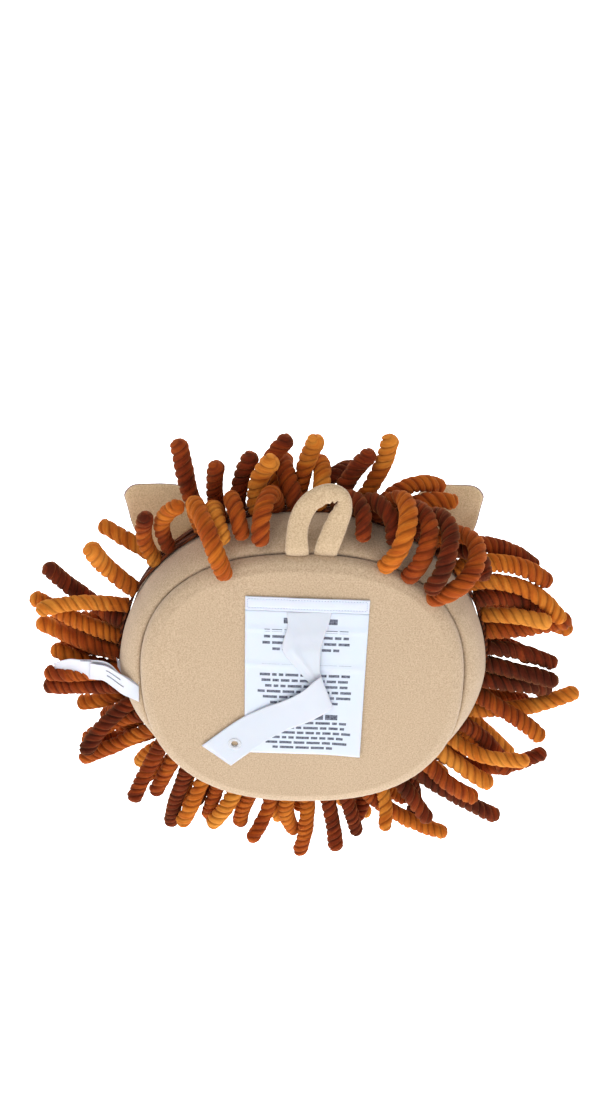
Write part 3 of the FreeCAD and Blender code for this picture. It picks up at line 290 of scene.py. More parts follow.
# ------------------------------------------------------------------------------------------ materials
def make_fleece(name, light, deep, nub):
    """Brushed polyester fleece, knitted and then raised: short dense nubs, no gloss, a soft glow at grazing light."""
    made, tree, shader = new_material(name)
    place = add(tree, "ShaderNodeTexCoord").outputs["Object"]
    nubs = add(tree, "ShaderNodeTexNoise", {"Vector": place, "Scale": 0.9 / nub, "Detail": 2.5, "Roughness": 0.6})
    fibres = add(tree, "ShaderNodeTexNoise", {"Vector": place, "Scale": 3.2 / nub, "Detail": 1.0})
    drift = add(tree, "ShaderNodeTexNoise", {"Vector": place, "Scale": 16.0, "Detail": 1.0})
    pile = add(tree, "ShaderNodeMath", {0: nubs.outputs["Fac"], 1: 0.75}, operation="MULTIPLY")
    both = add(tree, "ShaderNodeMath", {0: fibres.outputs["Fac"], 1: 0.25, 2: pile.outputs[0]},
               operation="MULTIPLY_ADD")
    # painted light and shade: the noise that raises the nubs also colours them, lighter on the tips and darker in the
    # roots between them
    toned = add(tree, "ShaderNodeValToRGB", {"Fac": both.outputs[0]}, [(0.36, deep), (0.62, light)])
    colour = toned.outputs["Color"]
    shade = add(tree, "ShaderNodeMapRange", {"Value": drift.outputs["Fac"], "To Min": 0.95, "To Max": 1.04})
    tinted = add(tree, "ShaderNodeVectorMath", {0: colour, "Scale": shade.outputs["Result"]}, operation="SCALE")
    set_shader(tree, shader, tinted.outputs[0], both.outputs[0], 0.55, 0.9 * nub, roughness=0.95,
               specular_ior_level=0.12, sheen_weight=0.25, sheen_roughness=0.6)
    return made


def make_yarn():
    """Three-ply roving of wool-like acrylic, space-dyed from maroon to amber: long soft fibres that follow the twist."""
    made, tree, shader = new_material("space_dyed_roving_yarn")
    strand = add(tree, "ShaderNodeAttribute", attribute_name="strand").outputs["Vector"]
    dye = add(tree, "ShaderNodeAttribute", attribute_name="dye").outputs["Fac"]
    # painted shade: darker in the clefts between the plies and near each finger's root
    ply_and_root_shade = add(tree, "ShaderNodeAttribute", attribute_name="ply_and_root_shade").outputs["Fac"]
    # strand counts in mm: fibres are about 0.5 mm wide and 14 mm long
    combed = add(tree, "ShaderNodeMapping", {"Vector": strand, "Scale": (1.5, 1.5, 0.09)})
    fibres = add(tree, "ShaderNodeTexNoise", {"Vector": combed.outputs[0], "Scale": 1.0, "Detail": 3.0,
                                              "Roughness": 0.65})
    patchy = add(tree, "ShaderNodeTexNoise", {"Vector": strand, "Scale": 0.11, "Detail": 2.0})
    spread = add(tree, "ShaderNodeMapRange", {"Value": patchy.outputs["Fac"], "From Min": 0.3, "From Max": 0.7,
                                              "To Min": -0.13, "To Max": 0.13})
    tone = add(tree, "ShaderNodeMath", {0: dye, 1: spread.outputs["Result"]}, operation="ADD")
    hair = add(tree, "ShaderNodeMapRange", {"Value": fibres.outputs["Fac"], "From Min": 0.3, "From Max": 0.7,
                                            "To Min": -0.1, "To Max": 0.1})
    mixed = add(tree, "ShaderNodeMath", {0: tone.outputs[0], 1: hair.outputs["Result"]}, operation="ADD")
    toned = add(tree, "ShaderNodeValToRGB", {"Fac": mixed.outputs[0]},
                [(0.0, "#4a1608"), (0.22, "#76290d"), (0.45, "#a04613"),
                                           (0.7, "#bf661b"), (1.0, "#d98b35")])
    colour = toned.outputs["Color"]
    # the colour is darkened by the painted shade of the ply clefts and the roots
    shade = add(tree, "ShaderNodeMapRange", {"Value": ply_and_root_shade, "To Min": 1.06, "To Max": 0.5})
    tinted = add(tree, "ShaderNodeVectorMath", {0: colour, "Scale": shade.outputs["Result"]}, operation="SCALE")
    set_shader(tree, shader, tinted.outputs[0], fibres.outputs["Fac"], 0.5, 0.0006, roughness=0.9,
               specular_ior_level=0.15, sheen_weight=0.35, sheen_roughness=0.5, sheen_tint=linear("#e9a763"))
    return made


def make_satin(name, code, roughness=0.42):
    """Woven polyester label satin, calendered flat: a close weave, a milky soft gloss."""
    made, tree, shader = new_material(name)
    place = add(tree, "ShaderNodeTexCoord").outputs["Object"]
    # threads lie 0.2 mm apart; drawn at 0.45 mm so that they show at all
    weave = add(tree, "ShaderNodeTexNoise", {"Vector": place, "Scale": 1 / 0.00045, "Detail": 1.0})
    crumple = add(tree, "ShaderNodeTexNoise", {"Vector": place, "Scale": 70.0, "Detail": 2.0})
    both = add(tree, "ShaderNodeMath", {0: crumple.outputs["Fac"], 1: 1.6, 2: weave.outputs["Fac"]},
               operation="MULTIPLY_ADD")
    set_shader(tree, shader, linear(code), both.outputs[0], 0.12, 0.0004, roughness=roughness,
               specular_ior_level=0.4, sheen_weight=0.1, sheen_roughness=0.4, subsurface_weight=0.15,
               subsurface_scale=0.002)
    return made


def make_thread(name, code):
    """Spun polyester sewing thread: a fine twist with a dull shine."""
    made, tree, shader = new_material(name)
    place = add(tree, "ShaderNodeTexCoord").outputs["Object"]
    twist = add(tree, "ShaderNodeTexWave", {"Vector": place, "Scale": 900.0, "Distortion": 1.0},
                bands_direction="DIAGONAL")
    set_shader(tree, shader, linear(code), twist.outputs["Fac"], 0.3, 0.0001, roughness=0.6, specular_ior_level=0.3)
    return made


def make_ink():
    """Thermal-transfer ink on satin: dense grey, slightly shinier than the cloth."""
    made, tree, shader = new_material("label_print")
    place = add(tree, "ShaderNodeTexCoord").outputs["Object"]
    wear = add(tree, "ShaderNodeTexNoise", {"Vector": place, "Scale": 900.0})
    ink = bpy.context.scene.lion_label.ink
    toned = add(tree, "ShaderNodeValToRGB", {"Fac": wear.outputs["Fac"]}, [(0.3, ink), (0.75, "#7b8094")])
    colour = toned.outputs["Color"]
    set_shader(tree, shader, colour, roughness=0.5, specular_ior_level=0.35)
    return made


def make_clear_plastic():
    """Injection-moulded clear polycarbonate: bright edges, a faint milky tint."""
    made, tree, shader = new_material("clear_moulded_plastic")
    place = add(tree, "ShaderNodeTexCoord").outputs["Object"]
    flow = add(tree, "ShaderNodeTexNoise", {"Vector": place, "Scale": 500.0})
    set_shader(tree, shader, linear("#f2f5fb"), flow.outputs["Fac"], 0.05, 0.0001, roughness=0.12, ior=1.58,
               transmission_weight=0.45, alpha=0.9)
    return made


def make_eye_plastic():
    """Moulded acrylic safety eye: almost black, with a hard gloss and faint mould swirls."""
    made, tree, shader = new_material("moulded_acrylic_eye")
    place = add(tree, "ShaderNodeTexCoord").outputs["Object"]
    swirl = add(tree, "ShaderNodeTexNoise", {"Vector": place, "Scale": 120.0, "Distortion": 1.5})
    toned = add(tree, "ShaderNodeValToRGB", {"Fac": swirl.outputs["Fac"]}, [(0.2, "#140b07"), (0.8, "#2c170d")])
    colour = toned.outputs["Color"]
    set_shader(tree, shader, colour, roughness=0.06, ior=1.49, coat_weight=0.6, coat_roughness=0.03)
    return made


def make_plain(name, light, dark, grain_mm, roughness, bump=0.2):
    """A plain mottled finish for the pieces inside and for felt: grain of a given size between two tones."""
    made, tree, shader = new_material(name)
    place = add(tree, "ShaderNodeTexCoord").outputs["Object"]
    grain = add(tree, "ShaderNodeTexNoise", {"Vector": place, "Scale": 1 / (grain_mm * MM), "Detail": 3.0})
    toned = add(tree, "ShaderNodeValToRGB", {"Fac": grain.outputs["Fac"]}, [(0.3, dark), (0.7, light)])
    colour = toned.outputs["Color"]
    set_shader(tree, shader, colour, grain.outputs["Fac"], bump, grain_mm * MM, roughness=roughness,
               specular_ior_level=0.25)
    return made


def make_tape():
    """Herringbone cotton tape, woven from dyed thread: slanting ribs 1.2 mm apart."""
    made, tree, shader = new_material("woven_cotton_tape")
    place = add(tree, "ShaderNodeTexCoord").outputs["Object"]
    ribs = add(tree, "ShaderNodeTexWave", {"Vector": place, "Scale": 130.0, "Distortion": 0.6},
               bands_direction="DIAGONAL")
    toned = add(tree, "ShaderNodeValToRGB", {"Fac": ribs.outputs["Fac"]}, [(0.2, "#3c1a0c"), (0.8, "#6b3518")])
    colour = toned.outputs["Color"]
    set_shader(tree, shader, colour, ribs.outputs["Fac"], 0.4, 0.0004, roughness=0.9, specular_ior_level=0.2)
    return made


MATERIALS = {}


def make_materials():
    """All finishes, by the short names that the pieces use."""
    fleece, label = bpy.context.scene.lion_fleece, bpy.context.scene.lion_label
    MATERIALS.update(
        fleece=make_fleece("brushed_fleece", fleece.light, fleece.deep, fleece.nub),
        strap=make_fleece("brushed_fleece_strap", "#ceb695", "#ad9272", fleece.nub),
        # the ears' fleece is a lighter copy of the head's fleece: painted light on the ears
        ear=make_fleece("brushed_fleece_ear_painted_light", "#e6cda6", "#c6aa83", fleece.nub),
        lining=make_fleece("mauve_fleece_lining", "#a98790", "#7f5f68", fleece.nub),
        muzzle=make_fleece("cream_fleece", "#efe2cb", "#cdb899", fleece.nub),
        yarn=make_yarn(),
        satin=make_satin("label_satin", label.satin),
        ribbon=make_satin("ribbon_satin", label.ribbon, 0.38),
        care=make_satin("care_label_satin", "#cbcbd5", 0.4),
        thread=make_thread("label_thread", "#aab3cc"),
        brown_thread=make_thread("brown_thread", "#3a2418"),
        ink=make_ink(),
        clear=make_clear_plastic(),
        eye=make_eye_plastic(),
        felt=make_plain("nose_velour", "#3b2621", "#1c100d", 0.6, 0.85, 0.4),
        board=make_plain("grey_board", "#b29c80", "#8d7a60", 0.9, 0.9),
        filling=make_plain("polyester_fibre", "#ffffff", "#dcdcd8", 2.5, 1.0, 0.8),
        washer=make_plain("moulded_nylon", "#f1f1ee", "#e2e2de", 3.0, 0.5, 0.02),
        tape=make_tape(),
    )


def repaint(node, finish):
    """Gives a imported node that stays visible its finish."""
    piece = frame["nodes"][node]
    piece.data.materials.clear()
    piece.data.materials.append(MATERIALS[finish])


def settle(piece, body, slot, *nodes):
    """Puts a piece on its body and hides the imported nodes that it stands for; its material slot is not used."""
    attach(piece, body)
    if nodes:
        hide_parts(*nodes)
    return piece


# --------------------------------------------------------------------------------------- head's shell
def swell(depth):
    """How far the gusset has swollen at a depth: 0 at the panel's rim and 1 at its widest."""
    share = min(1.0, max(0.0, (depth - RIM_DEPTH) / (BULGE_DEPTH - RIM_DEPTH)))
    return math.sqrt(1 - (1 - share) ** 2)


def late_swell(depth):
    """The same for the underside, where the cloth leaves the rim slowly."""
    share = min(1.0, max(0.0, (depth - RIM_DEPTH) / (BULGE_DEPTH - RIM_DEPTH)))
    return share**2 * (3 - 2 * share)


def oval(wide, high, depth, count, fuller=0.0):
    """Points of an ellipse round the Y axis, or of one with fuller shoulders."""
    power = 2 + 0.4 * fuller
    made = []
    for k in range(count):
        c, s = math.cos(2 * math.pi * k / count), math.sin(2 * math.pi * k / count)
        reach = (abs(c) ** power + abs(s) ** power) ** (-1 / power)
        made.append(Vector((wide * c * reach, -depth, high * s * reach)))
    return made


def make_panel():
    """The fleece stretched over the board: a flat field, the board's edge as a soft ridge, and a turned rim."""
    count = 220
    inset_and_depth_mm = [(6, 0.05), (14, 0.0), (11, 0.0), (9.5, -0.1), (8.5, 0.05), (7.5, 0.45), (6, 0.95),
                          (4.5, 1.5), (3, 2.3), (1.9, 3.5), (1.1, 4.8), (0.6, 6.2), (0.45, 7.3), (0.7, 8.3)]
    shares = [0.12, 0.25, 0.38, 0.5, 0.6, 0.68, 0.76, 0.83]
    rings = [oval(PANEL_WIDE * s, PANEL_HIGH * s, 0, count, 1.0) for s in shares]
    for inset, depth in inset_and_depth_mm[1:]:
        rings.append(oval(PANEL_WIDE - inset * MM, PANEL_HIGH - inset * MM, depth * MM, count, 1.0))
    for inset, depth in ((5, 7.6), (9, 5.0), (30, 4.6)):
        rings.append(oval(PANEL_WIDE - inset * MM, PANEL_HIGH - inset * MM, depth * MM, count, 1.0))
    for ring in rings[:-3]:
        for point in ring:
            reach = (abs(point.x / PANEL_WIDE) ** 2.4 + abs(point.z / PANEL_HIGH) ** 2.4) ** (1 / 2.4)
            soft = 0.35 * MM * rough(point, 0.045, 2.0) + 0.12 * MM * rough(point, 0.012, 3.0)
            seam = max(0.0, reach - 0.93) / 0.07
            angle = math.atan2(point.z, point.x)
            tuck = 0.22 * MM * seam * math.sin(angle * 96) + 0.4 * MM * seam * rough(point, 0.011, 4.0)
            point.y += soft * (1 - seam) + tuck
    points, faces = capped(rings, Vector((0, 0, 0)), Vector((0, -4.6 * MM, 0)))
    piece = add_mesh("panel_cover", points, faces, MATERIALS["fleece"])
    settle(piece, "head", "fleece", "back_panel")


def gusset_fold(point, angle, depth):
    """Height of the gusset's small folds: strongest over the top, beside the panel's seam and round the loop."""
    top = max(0.0, math.sin(angle)) ** 2
    near = math.exp(-(depth - RIM_DEPTH) / (16 * MM))
    height = bpy.context.scene.lion_fleece.pucker * (0.3 + 0.9 * top)
    ribs = rough((math.cos(angle) * 12, math.sin(angle) * 12, depth / (70 * MM)), 1.0, 6.0)
    broad = rough(point, 0.034, 8.0) * 1.1 * MM
    stitch = 0.16 * MM * math.sin(angle * 96) * math.exp(-(depth - RIM_DEPTH) / (4 * MM))
    return ribs * height * near * 1.6 + broad + stitch


def gusset_ring(depth, off, count):
    """One ring of the gusset: the panel's outline at the rim, the head's at the widest, later on the underside."""
    quick, late = swell(depth), late_swell(depth)
    rim = oval(PANEL_WIDE + off, PANEL_HIGH + off, depth, count, 1.0)
    full = oval(HEAD_WIDE + off, HEAD_HIGH + off, depth, count)
    made = []
    for near, far in zip(rim, full):
        under = max(0.0, -near.z / PANEL_HIGH) ** 0.7
        made.append(near.lerp(far, quick * (1 - under) + late * under))
    return made


def make_filling():
    """The polyester fibre that fills the head, just inside the cloth."""
    count = 96
    rings = [gusset_ring(depth_mm * MM, -3.4 * MM, count) for depth_mm in (9.5, 12, 16, 20, 28, 36, 46, 60)]
    for r in range(1, 12):
        turn = math.pi / 2 * r / 12
        rings.append(oval((HEAD_WIDE - 3.4 * MM) * math.cos(turn), (HEAD_HIGH - 3.4 * MM) * math.cos(turn),
                          SEAM_DEPTH + (FACE_DEPTH - 6 * MM) * math.sin(turn), count))
    points, faces = capped(rings, Vector((0, -9.5 * MM, 0)), Vector((0, -SEAM_DEPTH - FACE_DEPTH + 6 * MM, 0)))
    settle(add_mesh("filling", points, faces, MATERIALS["filling"]), "head", "filling", "stuffing")


def make_gusset():
    """The swelling fleece wall between the panel's seam and the mane."""
    count = 260
    outer = [8.0, 8.3, 8.8, 9.6, 10.8, 12.4, 14.4, 17, 20, 24, 28, 32, 36, 41, 46, 51, 56, 60.3]
    rings = []
    for depth_mm in outer:
        depth = depth_mm * MM
        ring = gusset_ring(depth, -0.9 * MM if depth_mm == 8.0 else 0.0, count)
        for point in ring:
            angle = math.atan2(point.z / HEAD_HIGH, point.x / HEAD_WIDE)
            lift = gusset_fold(point, angle, depth) - 0.5 * MM
            outward = Vector((point.x / HEAD_WIDE**2, 0, point.z / HEAD_HIGH**2)).normalized()
            outward.y = 0.8 * (1 - swell(depth))
            if depth_mm > 8.0:
                point += outward.normalized() * lift * min(1.0, (depth_mm - 8.0) / 2)
        rings.append(ring)
    for depth_mm in (60.3, 50, 36, 24, 16, 12, 10):
        depth = depth_mm * MM
        rings.append(gusset_ring(depth, -2.4 * MM, count))
    points = [p for ring in rings for p in ring]
    piece = add_mesh("gusset_cover", points, ring_faces(len(rings), count, closed=True), MATERIALS["fleece"])
    settle(piece, "head", "fleece", "side_gusset")


def face_rise(x, z):
    """Outward soft form of the face: brow and cheeks stand out a little, and the eyes sit in shallow hollows."""
    made = 0.0
    for side in (-1, 1):
        eye = math.exp(-((x - side * 0.040) ** 2 + (z - 0.024) ** 2) / (2 * 0.013**2))
        cheek = math.exp(-((x - side * 0.060) ** 2 + (z + 0.030) ** 2) / (2 * 0.026**2))
        brow = math.exp(-((x - side * 0.036) ** 2 + (z - 0.052) ** 2) / (2 * 0.014**2))
        made += 3.2 * MM * cheek + 2.2 * MM * brow - 2.2 * MM * eye
    bridge = math.exp(-(x**2) / (2 * 0.012**2)) * math.exp(-((z - 0.012) ** 2) / (2 * 0.026**2))
    return made + 3.0 * MM * bridge


def make_face():
    """The front of the head: a full fleece dome, with soft forms and a soft ridge down its middle."""
    count, rows = 200, 30
    outer, inner = [], []
    for r in range(rows):
        turn = math.pi / 2 * r / rows
        ring = oval(HEAD_WIDE * math.cos(turn), HEAD_HIGH * math.cos(turn),
                    SEAM_DEPTH + 0.3 * MM + FACE_DEPTH * math.sin(turn), count)
        for point in ring:
            normal = Vector((point.x / HEAD_WIDE**2, (point.y + SEAM_DEPTH) / FACE_DEPTH**2,
                             point.z / HEAD_HIGH**2))
            uneven = 0.7 * MM * rough(point, 0.04, 9.0) - 0.4 * MM
            lift = face_rise(point.x, point.z) * math.sin(turn) + uneven
            point += normal.normalized() * lift
        outer.append(ring)
    for r in range(0, rows, 3):
        turn = math.pi / 2 * r / rows
        inner.append(oval((HEAD_WIDE - 2.6 * MM) * math.cos(turn), (HEAD_HIGH - 2.6 * MM) * math.cos(turn),
                          SEAM_DEPTH + 0.3 * MM + (FACE_DEPTH - 2.6 * MM) * math.sin(turn), count))
    tip = face_rise(0, 0)
    points, faces = capped(inner[::-1] + outer, Vector((0, -SEAM_DEPTH - FACE_DEPTH + 2.6 * MM, 0)),
                           Vector((0, -SEAM_DEPTH - FACE_DEPTH - tip, 0)))
    piece = add_mesh("face_cover", points, faces, MATERIALS["fleece"])
    settle(piece, "head", "fleece", "face_panel")


def pillow(name, node, finish, seed):
    """A stuffed pad in a node's box: an egg with soft unevenness."""
    low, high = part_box(node)
    centre, half = (low + high) / 2, (high - low) / 2
    count, rows = 56, 26
    rings = []
    for r in range(1, rows):
        turn = math.pi * r / rows
        ring = []
        for k in range(count):
            angle = 2 * math.pi * k / count
            out = Vector((math.sin(turn) * math.cos(angle), -math.cos(turn), math.sin(turn) * math.sin(angle)))
            lift = 1 + 0.05 * rough(out, 0.7, seed)
            ring.append(centre + Vector((out.x * half.x, out.y * half.y, out.z * half.z)) * lift)
        rings.append(ring)
    points, faces = capped(rings, centre - Vector((0, half.y, 0)), centre + Vector((0, half.y, 0)))
    piece = add_mesh(name, points, faces, MATERIALS[finish])
    settle(piece, "head", "muzzle_fleece", node)
    return piece


def tube(name, path, radius, finish, sides=8, tail=True):
    """A round thread along a path, with rounded ends."""
    rings = []
    for k, ((side, up), point) in enumerate(zip(frames_along(path), path)):
        thin = 0.55 if tail and k in (0, len(path) - 1) else 1.0
        rings.append([Vector(point) + (side * math.cos(a) + up * math.sin(a)) * radius * thin
                      for a in (2 * math.pi * s / sides for s in range(sides))])
    points, faces = capped(rings, Vector(path[0]), Vector(path[-1]))
    return add_mesh(name, points, faces, MATERIALS[finish])


def make_muzzle():
    """Two muzzle pads, the chin, the nose and the stitched mouth."""
    pillow("muzzle_pad_left", "muzzle_left", "muzzle", 1.0)
    pillow("muzzle_pad_right", "muzzle_right", "muzzle", 2.0)
    pillow("chin_pad", "chin", "muzzle", 3.0)
    low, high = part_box("nose")
    middle, half, front = (low + high) / 2, (high - low) / 2, low.y
    count = 64
    rings = []
    for share, depth_mm in ((0.8, 18.0), (1.0, 14.0), (1.04, 8.0), (1.03, 4.5), (0.94, 1.8), (0.78, 0.4),
                            (0.5, -0.4), (0.2, -0.8)):
        ring = []
        for k in range(count):
            angle = 2 * math.pi * k / count
            wide = 1 - 0.42 * max(0.0, -math.sin(angle)) ** 1.3
            reach = 1 + 0.06 * math.cos(3 * angle + math.pi / 2)
            ring.append(Vector((middle.x + half.x * share * math.cos(angle) * wide * reach,
                                front + depth_mm * MM, middle.z + half.z * share * math.sin(angle) * reach)))
        rings.append(ring)
    points, faces = capped(rings, Vector((middle.x, front + 18 * MM, middle.z)),
                           Vector((middle.x, front - 0.9 * MM, middle.z)))
    settle(add_mesh("nose_pad", points, faces, MATERIALS["felt"]), "head", "nose_felt", "nose")
    chin_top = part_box("chin")[1].z
    drop = [(0, front + 6 * MM, middle.z - half.z * 0.9), (0, front + 5 * MM, middle.z - half.z - 4 * MM),
            (0, front + 8 * MM, chin_top + 2 * MM)]
    settle(tube("mouth_thread", spline(drop, 14), 0.7 * MM, "brown_thread"), "head", "nose_felt")
    for side, name in ((1, "left"), (-1, "right")):
        line = [(0, front + 7.5 * MM, chin_top + 3 * MM), (side * 8 * MM, front + 6 * MM, chin_top - 2 * MM),
                (side * 17 * MM, front + 8 * MM, chin_top - 1.5 * MM),
                (side * 26 * MM, front + 15 * MM, chin_top + 3 * MM)]
        settle(tube(f"smile_thread_{name}", spline(line, 24), 0.7 * MM, "brown_thread"), "head", "nose_felt")


def make_eyes():
    """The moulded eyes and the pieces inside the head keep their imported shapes."""
    for side in ("left", "right"):
        repaint(f"eye_{side}", "eye")
        repaint(f"eye_washer_{side}", "washer")
    repaint("backing_board", "board")
    for row in ("back", "front"):
        repaint(f"mane_tape_{row}", "tape")


# ------------------------------------------------------------------------------------------------ ears
# The ear's outline in mm from the middle of its seam: along the seam towards its outer end, and out.
EAR_OUTLINE_MM = [(-26.5, -2), (-26.2, 6), (-24.5, 14), (-23, 25), (-17, 32.5), (-9, 40), (-0.8, 46.6),
                  (7.7, 46), (13, 40.4), (19, 31), (23, 22.6), (26, 12), (26.6, 4), (26.5, -2)]


def make_ears():
    """Each ear: a fleece back and a mauve lining sewn together at the edge, cupped, with one soft crease."""
    joints = {joint["child"]: joint for joint in frame["joints"]}
    for name, side in (("left", 1), ("right", -1)):
        seat = Vector(joints[f"{name}_ear"]["pos_m"])
        out = Vector((seat.x, 0, seat.z))
        axis = Vector(joints[f"{name}_ear"]["axis"])
        out = (out - axis * out.dot(axis)).normalized()
        along = axis if axis.dot(Vector((side, 0, 0))) > 0 else -axis
        rim = spline(EAR_OUTLINE_MM, 64)
        base = [(26.5 - 53 * k / 18, -2.0) for k in range(1, 18)]
        outline = np.array([tuple(p) for p in rim] + base) * MM
        centre = np.array((0.0, 18 * MM))
        # the back layer takes the lighter fleece copy, which is painted light
        for layer, finish, slot, facing, grow in (("back", "ear", "fleece", 1, 1.0),
                                                  ("lining", "lining", "ear_lining", -1, 1.02)):
            rings = []
            for share, puff in ((1.0, 0.0), (0.985, 0.45), (0.95, 0.75), (0.88, 0.95), (0.75, 1.0), (0.55, 1.0),
                                (0.35, 1.0), (0.15, 1.0)):
                rings.append([ear_point(centre + (p - centre) * share * grow, puff, facing, seat, along, out)
                              for p in outline])
            inner = [[ear_point(centre + (p - centre) * share * grow, 0.0, facing, seat, along, out)
                      for p in outline] for share in (0.15, 0.5, 0.85)]
            rings = inner + rings
            points, faces = capped(rings, ear_point(centre, 0.0, facing, seat, along, out),
                                   ear_point(centre, 1.0, facing, seat, along, out))
            piece = add_mesh(f"ear_{name}_{layer}_cloth", points, faces, MATERIALS[finish])
            settle(piece, f"{name}_ear", slot, f"ear_{name}_{layer}")


def ear_point(flat, puff, facing, seat, along, out):
    """A point of an ear layer: flat place along and out, puffed towards its own side, then cupped and creased."""
    u, w = flat
    cup = 2.6 * MM * (u / (26 * MM)) ** 2 * min(1.0, max(0.0, w / (20 * MM)))
    crease = -2.4 * MM * math.exp(-((u - 11 * MM - 0.12 * w) ** 2) / (2 * (4.5 * MM) ** 2))
    crease *= min(1.0, max(0.0, w / (24 * MM)))
    curl = 2.2 * MM * max(0.0, (w - 30 * MM) / (16 * MM)) ** 2
    wave = 0.7 * MM * rough((u, w, facing), 0.022, 12.0) * min(1.0, max(0.0, w / (12 * MM)))
    rise = -cup + crease + curl + wave
    rise = rise * min(1.0, max(0.0, (w + 2 * MM) / (10 * MM)))
    offset = rise + facing * puff * 1.7 * MM
    return seat + along * u + out * w + Vector((0, offset, 0))


# ---------------------------------------------------------------------------------------- hanging loop
# The strap's middle line in mm: X, Y, Z, half its width and half its thickness.
LOOP_LINE_MM = [(2.4, -8.6, 90.0, 7.1, 1.3), (2.4, -5.4, 93.6, 7.1, 1.7), (2.6, -3.2, 98.5, 6.9, 2.1),
                (2.7, -3, 105.5, 6.4, 2.3), (1.2, -3, 114.4, 6.3, 2.5), (-2.9, -3, 123.4, 6.3, 2.6),
                (-9.0, -2.9, 129.2, 6.1, 2.6), (-16.1, -2.8, 132.0, 5.9, 2.7), (-22.0, -2.7, 131.0, 5.2, 3.0),
                (-25.0, -2.7, 127.2, 4.5, 3.2), (-24.4, -2.9, 121.6, 5.4, 2.9), (-21.9, -3.1, 115.2, 6.5, 2.5),
                (-19.0, -3.2, 107.5, 7.0, 2.2), (-16.2, -3.6, 99.6, 7.1, 2.0), (-14.8, -5.6, 94.4, 7.1, 1.7),
                (-14.4, -8.6, 90.0, 7.1, 1.3)]


def make_loop():
    """The fleece strap, sewn as a flat tube and bent edgeways, so that its inner edge crumples in the bend."""
    line = spline(LOOP_LINE_MM, 110) * MM
    middle = Vector((-11 * MM, -3 * MM, 108 * MM))
    count = 36
    rings = []
    for k, (x, y, z, half_wide, half_thick) in enumerate(line):
        point = Vector((x, y, z))
        ahead, behind = line[min(k + 1, len(line) - 1)], line[max(k - 1, 0)]
        tangent = (Vector(ahead[:3]) - Vector(behind[:3])).normalized()
        flat = Vector((0, 1, 0))
        across = tangent.cross(flat).normalized()
        up = across.cross(tangent).normalized()
        bend = math.exp(-((k - 62) ** 2) / (2 * 12.0**2))
        ring = []
        for s in range(count):
            a = 2 * math.pi * s / count
            c, v = math.cos(a), math.sin(a)
            wide = math.copysign(abs(c) ** 0.75, c) * half_wide
            thick = math.copysign(abs(v) ** 0.85, v) * half_thick
            place = point + across * wide + up * thick
            inward = max(0.0, (middle - point).normalized().dot(across) * c)
            crumple = 0.8 * MM * bend * inward * math.sin(k * 0.9) + 0.3 * MM * rough(place, 0.008, 15.0)
            crumple -= 1.5 * MM * math.exp(-((k - 63) ** 2) / 9.0) * inward
            ring.append(place + (across * c + up * v) * crumple)
        rings.append(ring)
    points, faces = capped(rings, Vector(line[0][:3]), Vector(line[-1][:3]))
    piece = add_mesh("loop_strap", points, faces, MATERIALS["strap"])
    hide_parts("hanging_loop")
    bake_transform(piece)


# ---------------------------------------------------------------------------- the large satin label
LABEL_WIDE_MM, LABEL_HIGH_MM, HEM_MM, LABEL_TILT = 76.0, 114.0, 9.0, math.radians(1.9)
LABEL_MIDDLE_MM = (-2.0, 9.0)


def on_label(x_mm, y_mm, z_mm):
    """A place given from the label's middle, in mm, as a point of the frame in metres."""
    c, s = math.cos(LABEL_TILT), math.sin(LABEL_TILT)
    x, z = LABEL_MIDDLE_MM
    return Vector((x + x_mm * c - z_mm * s, y_mm, z + z_mm * c + x_mm * s)) * MM


def label_lift(x_mm, z_mm):
    """Height of the label's face above the wall plane in mm: nearly flat, two fold lines and a lifted corner."""
    down = (LABEL_HIGH_MM / 2 - HEM_MM - z_mm) / (LABEL_HIGH_MM - HEM_MM)
    wave = 0.35 * math.sin(x_mm / 13.0 + 1.0) * down + 0.45 * rough((x_mm, 0, z_mm), 30.0, 21.0) * down
    fold = 0.5 * math.exp(-((z_mm - 35.0) ** 2) / 3.0)
    fold += 0.35 * math.exp(-((z_mm - 9.0 - x_mm * 0.02) ** 2) / 3.5)
    corner = 3.2 * max(0.0, (-x_mm / 38.0 + down - 1.25)) ** 1.6
    other = 0.8 * max(0.0, (x_mm / 38.0 + down - 1.4))
    return 0.6 + max(0.0, wave) + fold * min(1.0, down * 6) + corner + other


def make_label():
    """The stitched hem, the hanging leaf, and grey bars in place of print."""
    thickness = bpy.context.scene.lion_label.thickness
    top, low = LABEL_HIGH_MM / 2, LABEL_HIGH_MM / 2 - HEM_MM
    half = LABEL_WIDE_MM / 2
    rows = [top - HEM_MM * r / 12 for r in range(13)]
    columns = [-half + LABEL_WIDE_MM * c / 60 for c in range(61)]

    def hem_lift(x, z):
        over_ribbon = 0.35 / (1 + math.exp(-(x + 15.5) * 2)) / (1 + math.exp((x - 11.2) * 2))
        in_stitch = min(abs(z - top + 1.5), abs(z - low - 1.5), max(0.0, half - 1.5 - abs(x)))
        return 0.55 + over_ribbon + 0.25 * min(1.0, in_stitch / 1.2) + 0.12 * rough((x, 0, z), 5.0, 22.0)

    hem = cloth("label_hem", [[on_label(x, hem_lift(x, z), z) for x in columns] for z in rows], 2 * thickness,
                MATERIALS["satin"])
    settle(hem, "head", "satin", "label_header")

    rows = [low - 0.1 - (LABEL_HIGH_MM - HEM_MM - 0.1) * r / 70 for r in range(71)]
    leaf = cloth("label_leaf", [[on_label(x, label_lift(x, z), z) for x in columns] for z in rows], thickness,
                 MATERIALS["satin"])
    settle(leaf, "label", "satin", "back_label")
    make_bars()
    make_hem_stitches(top, low, half, hem_lift)


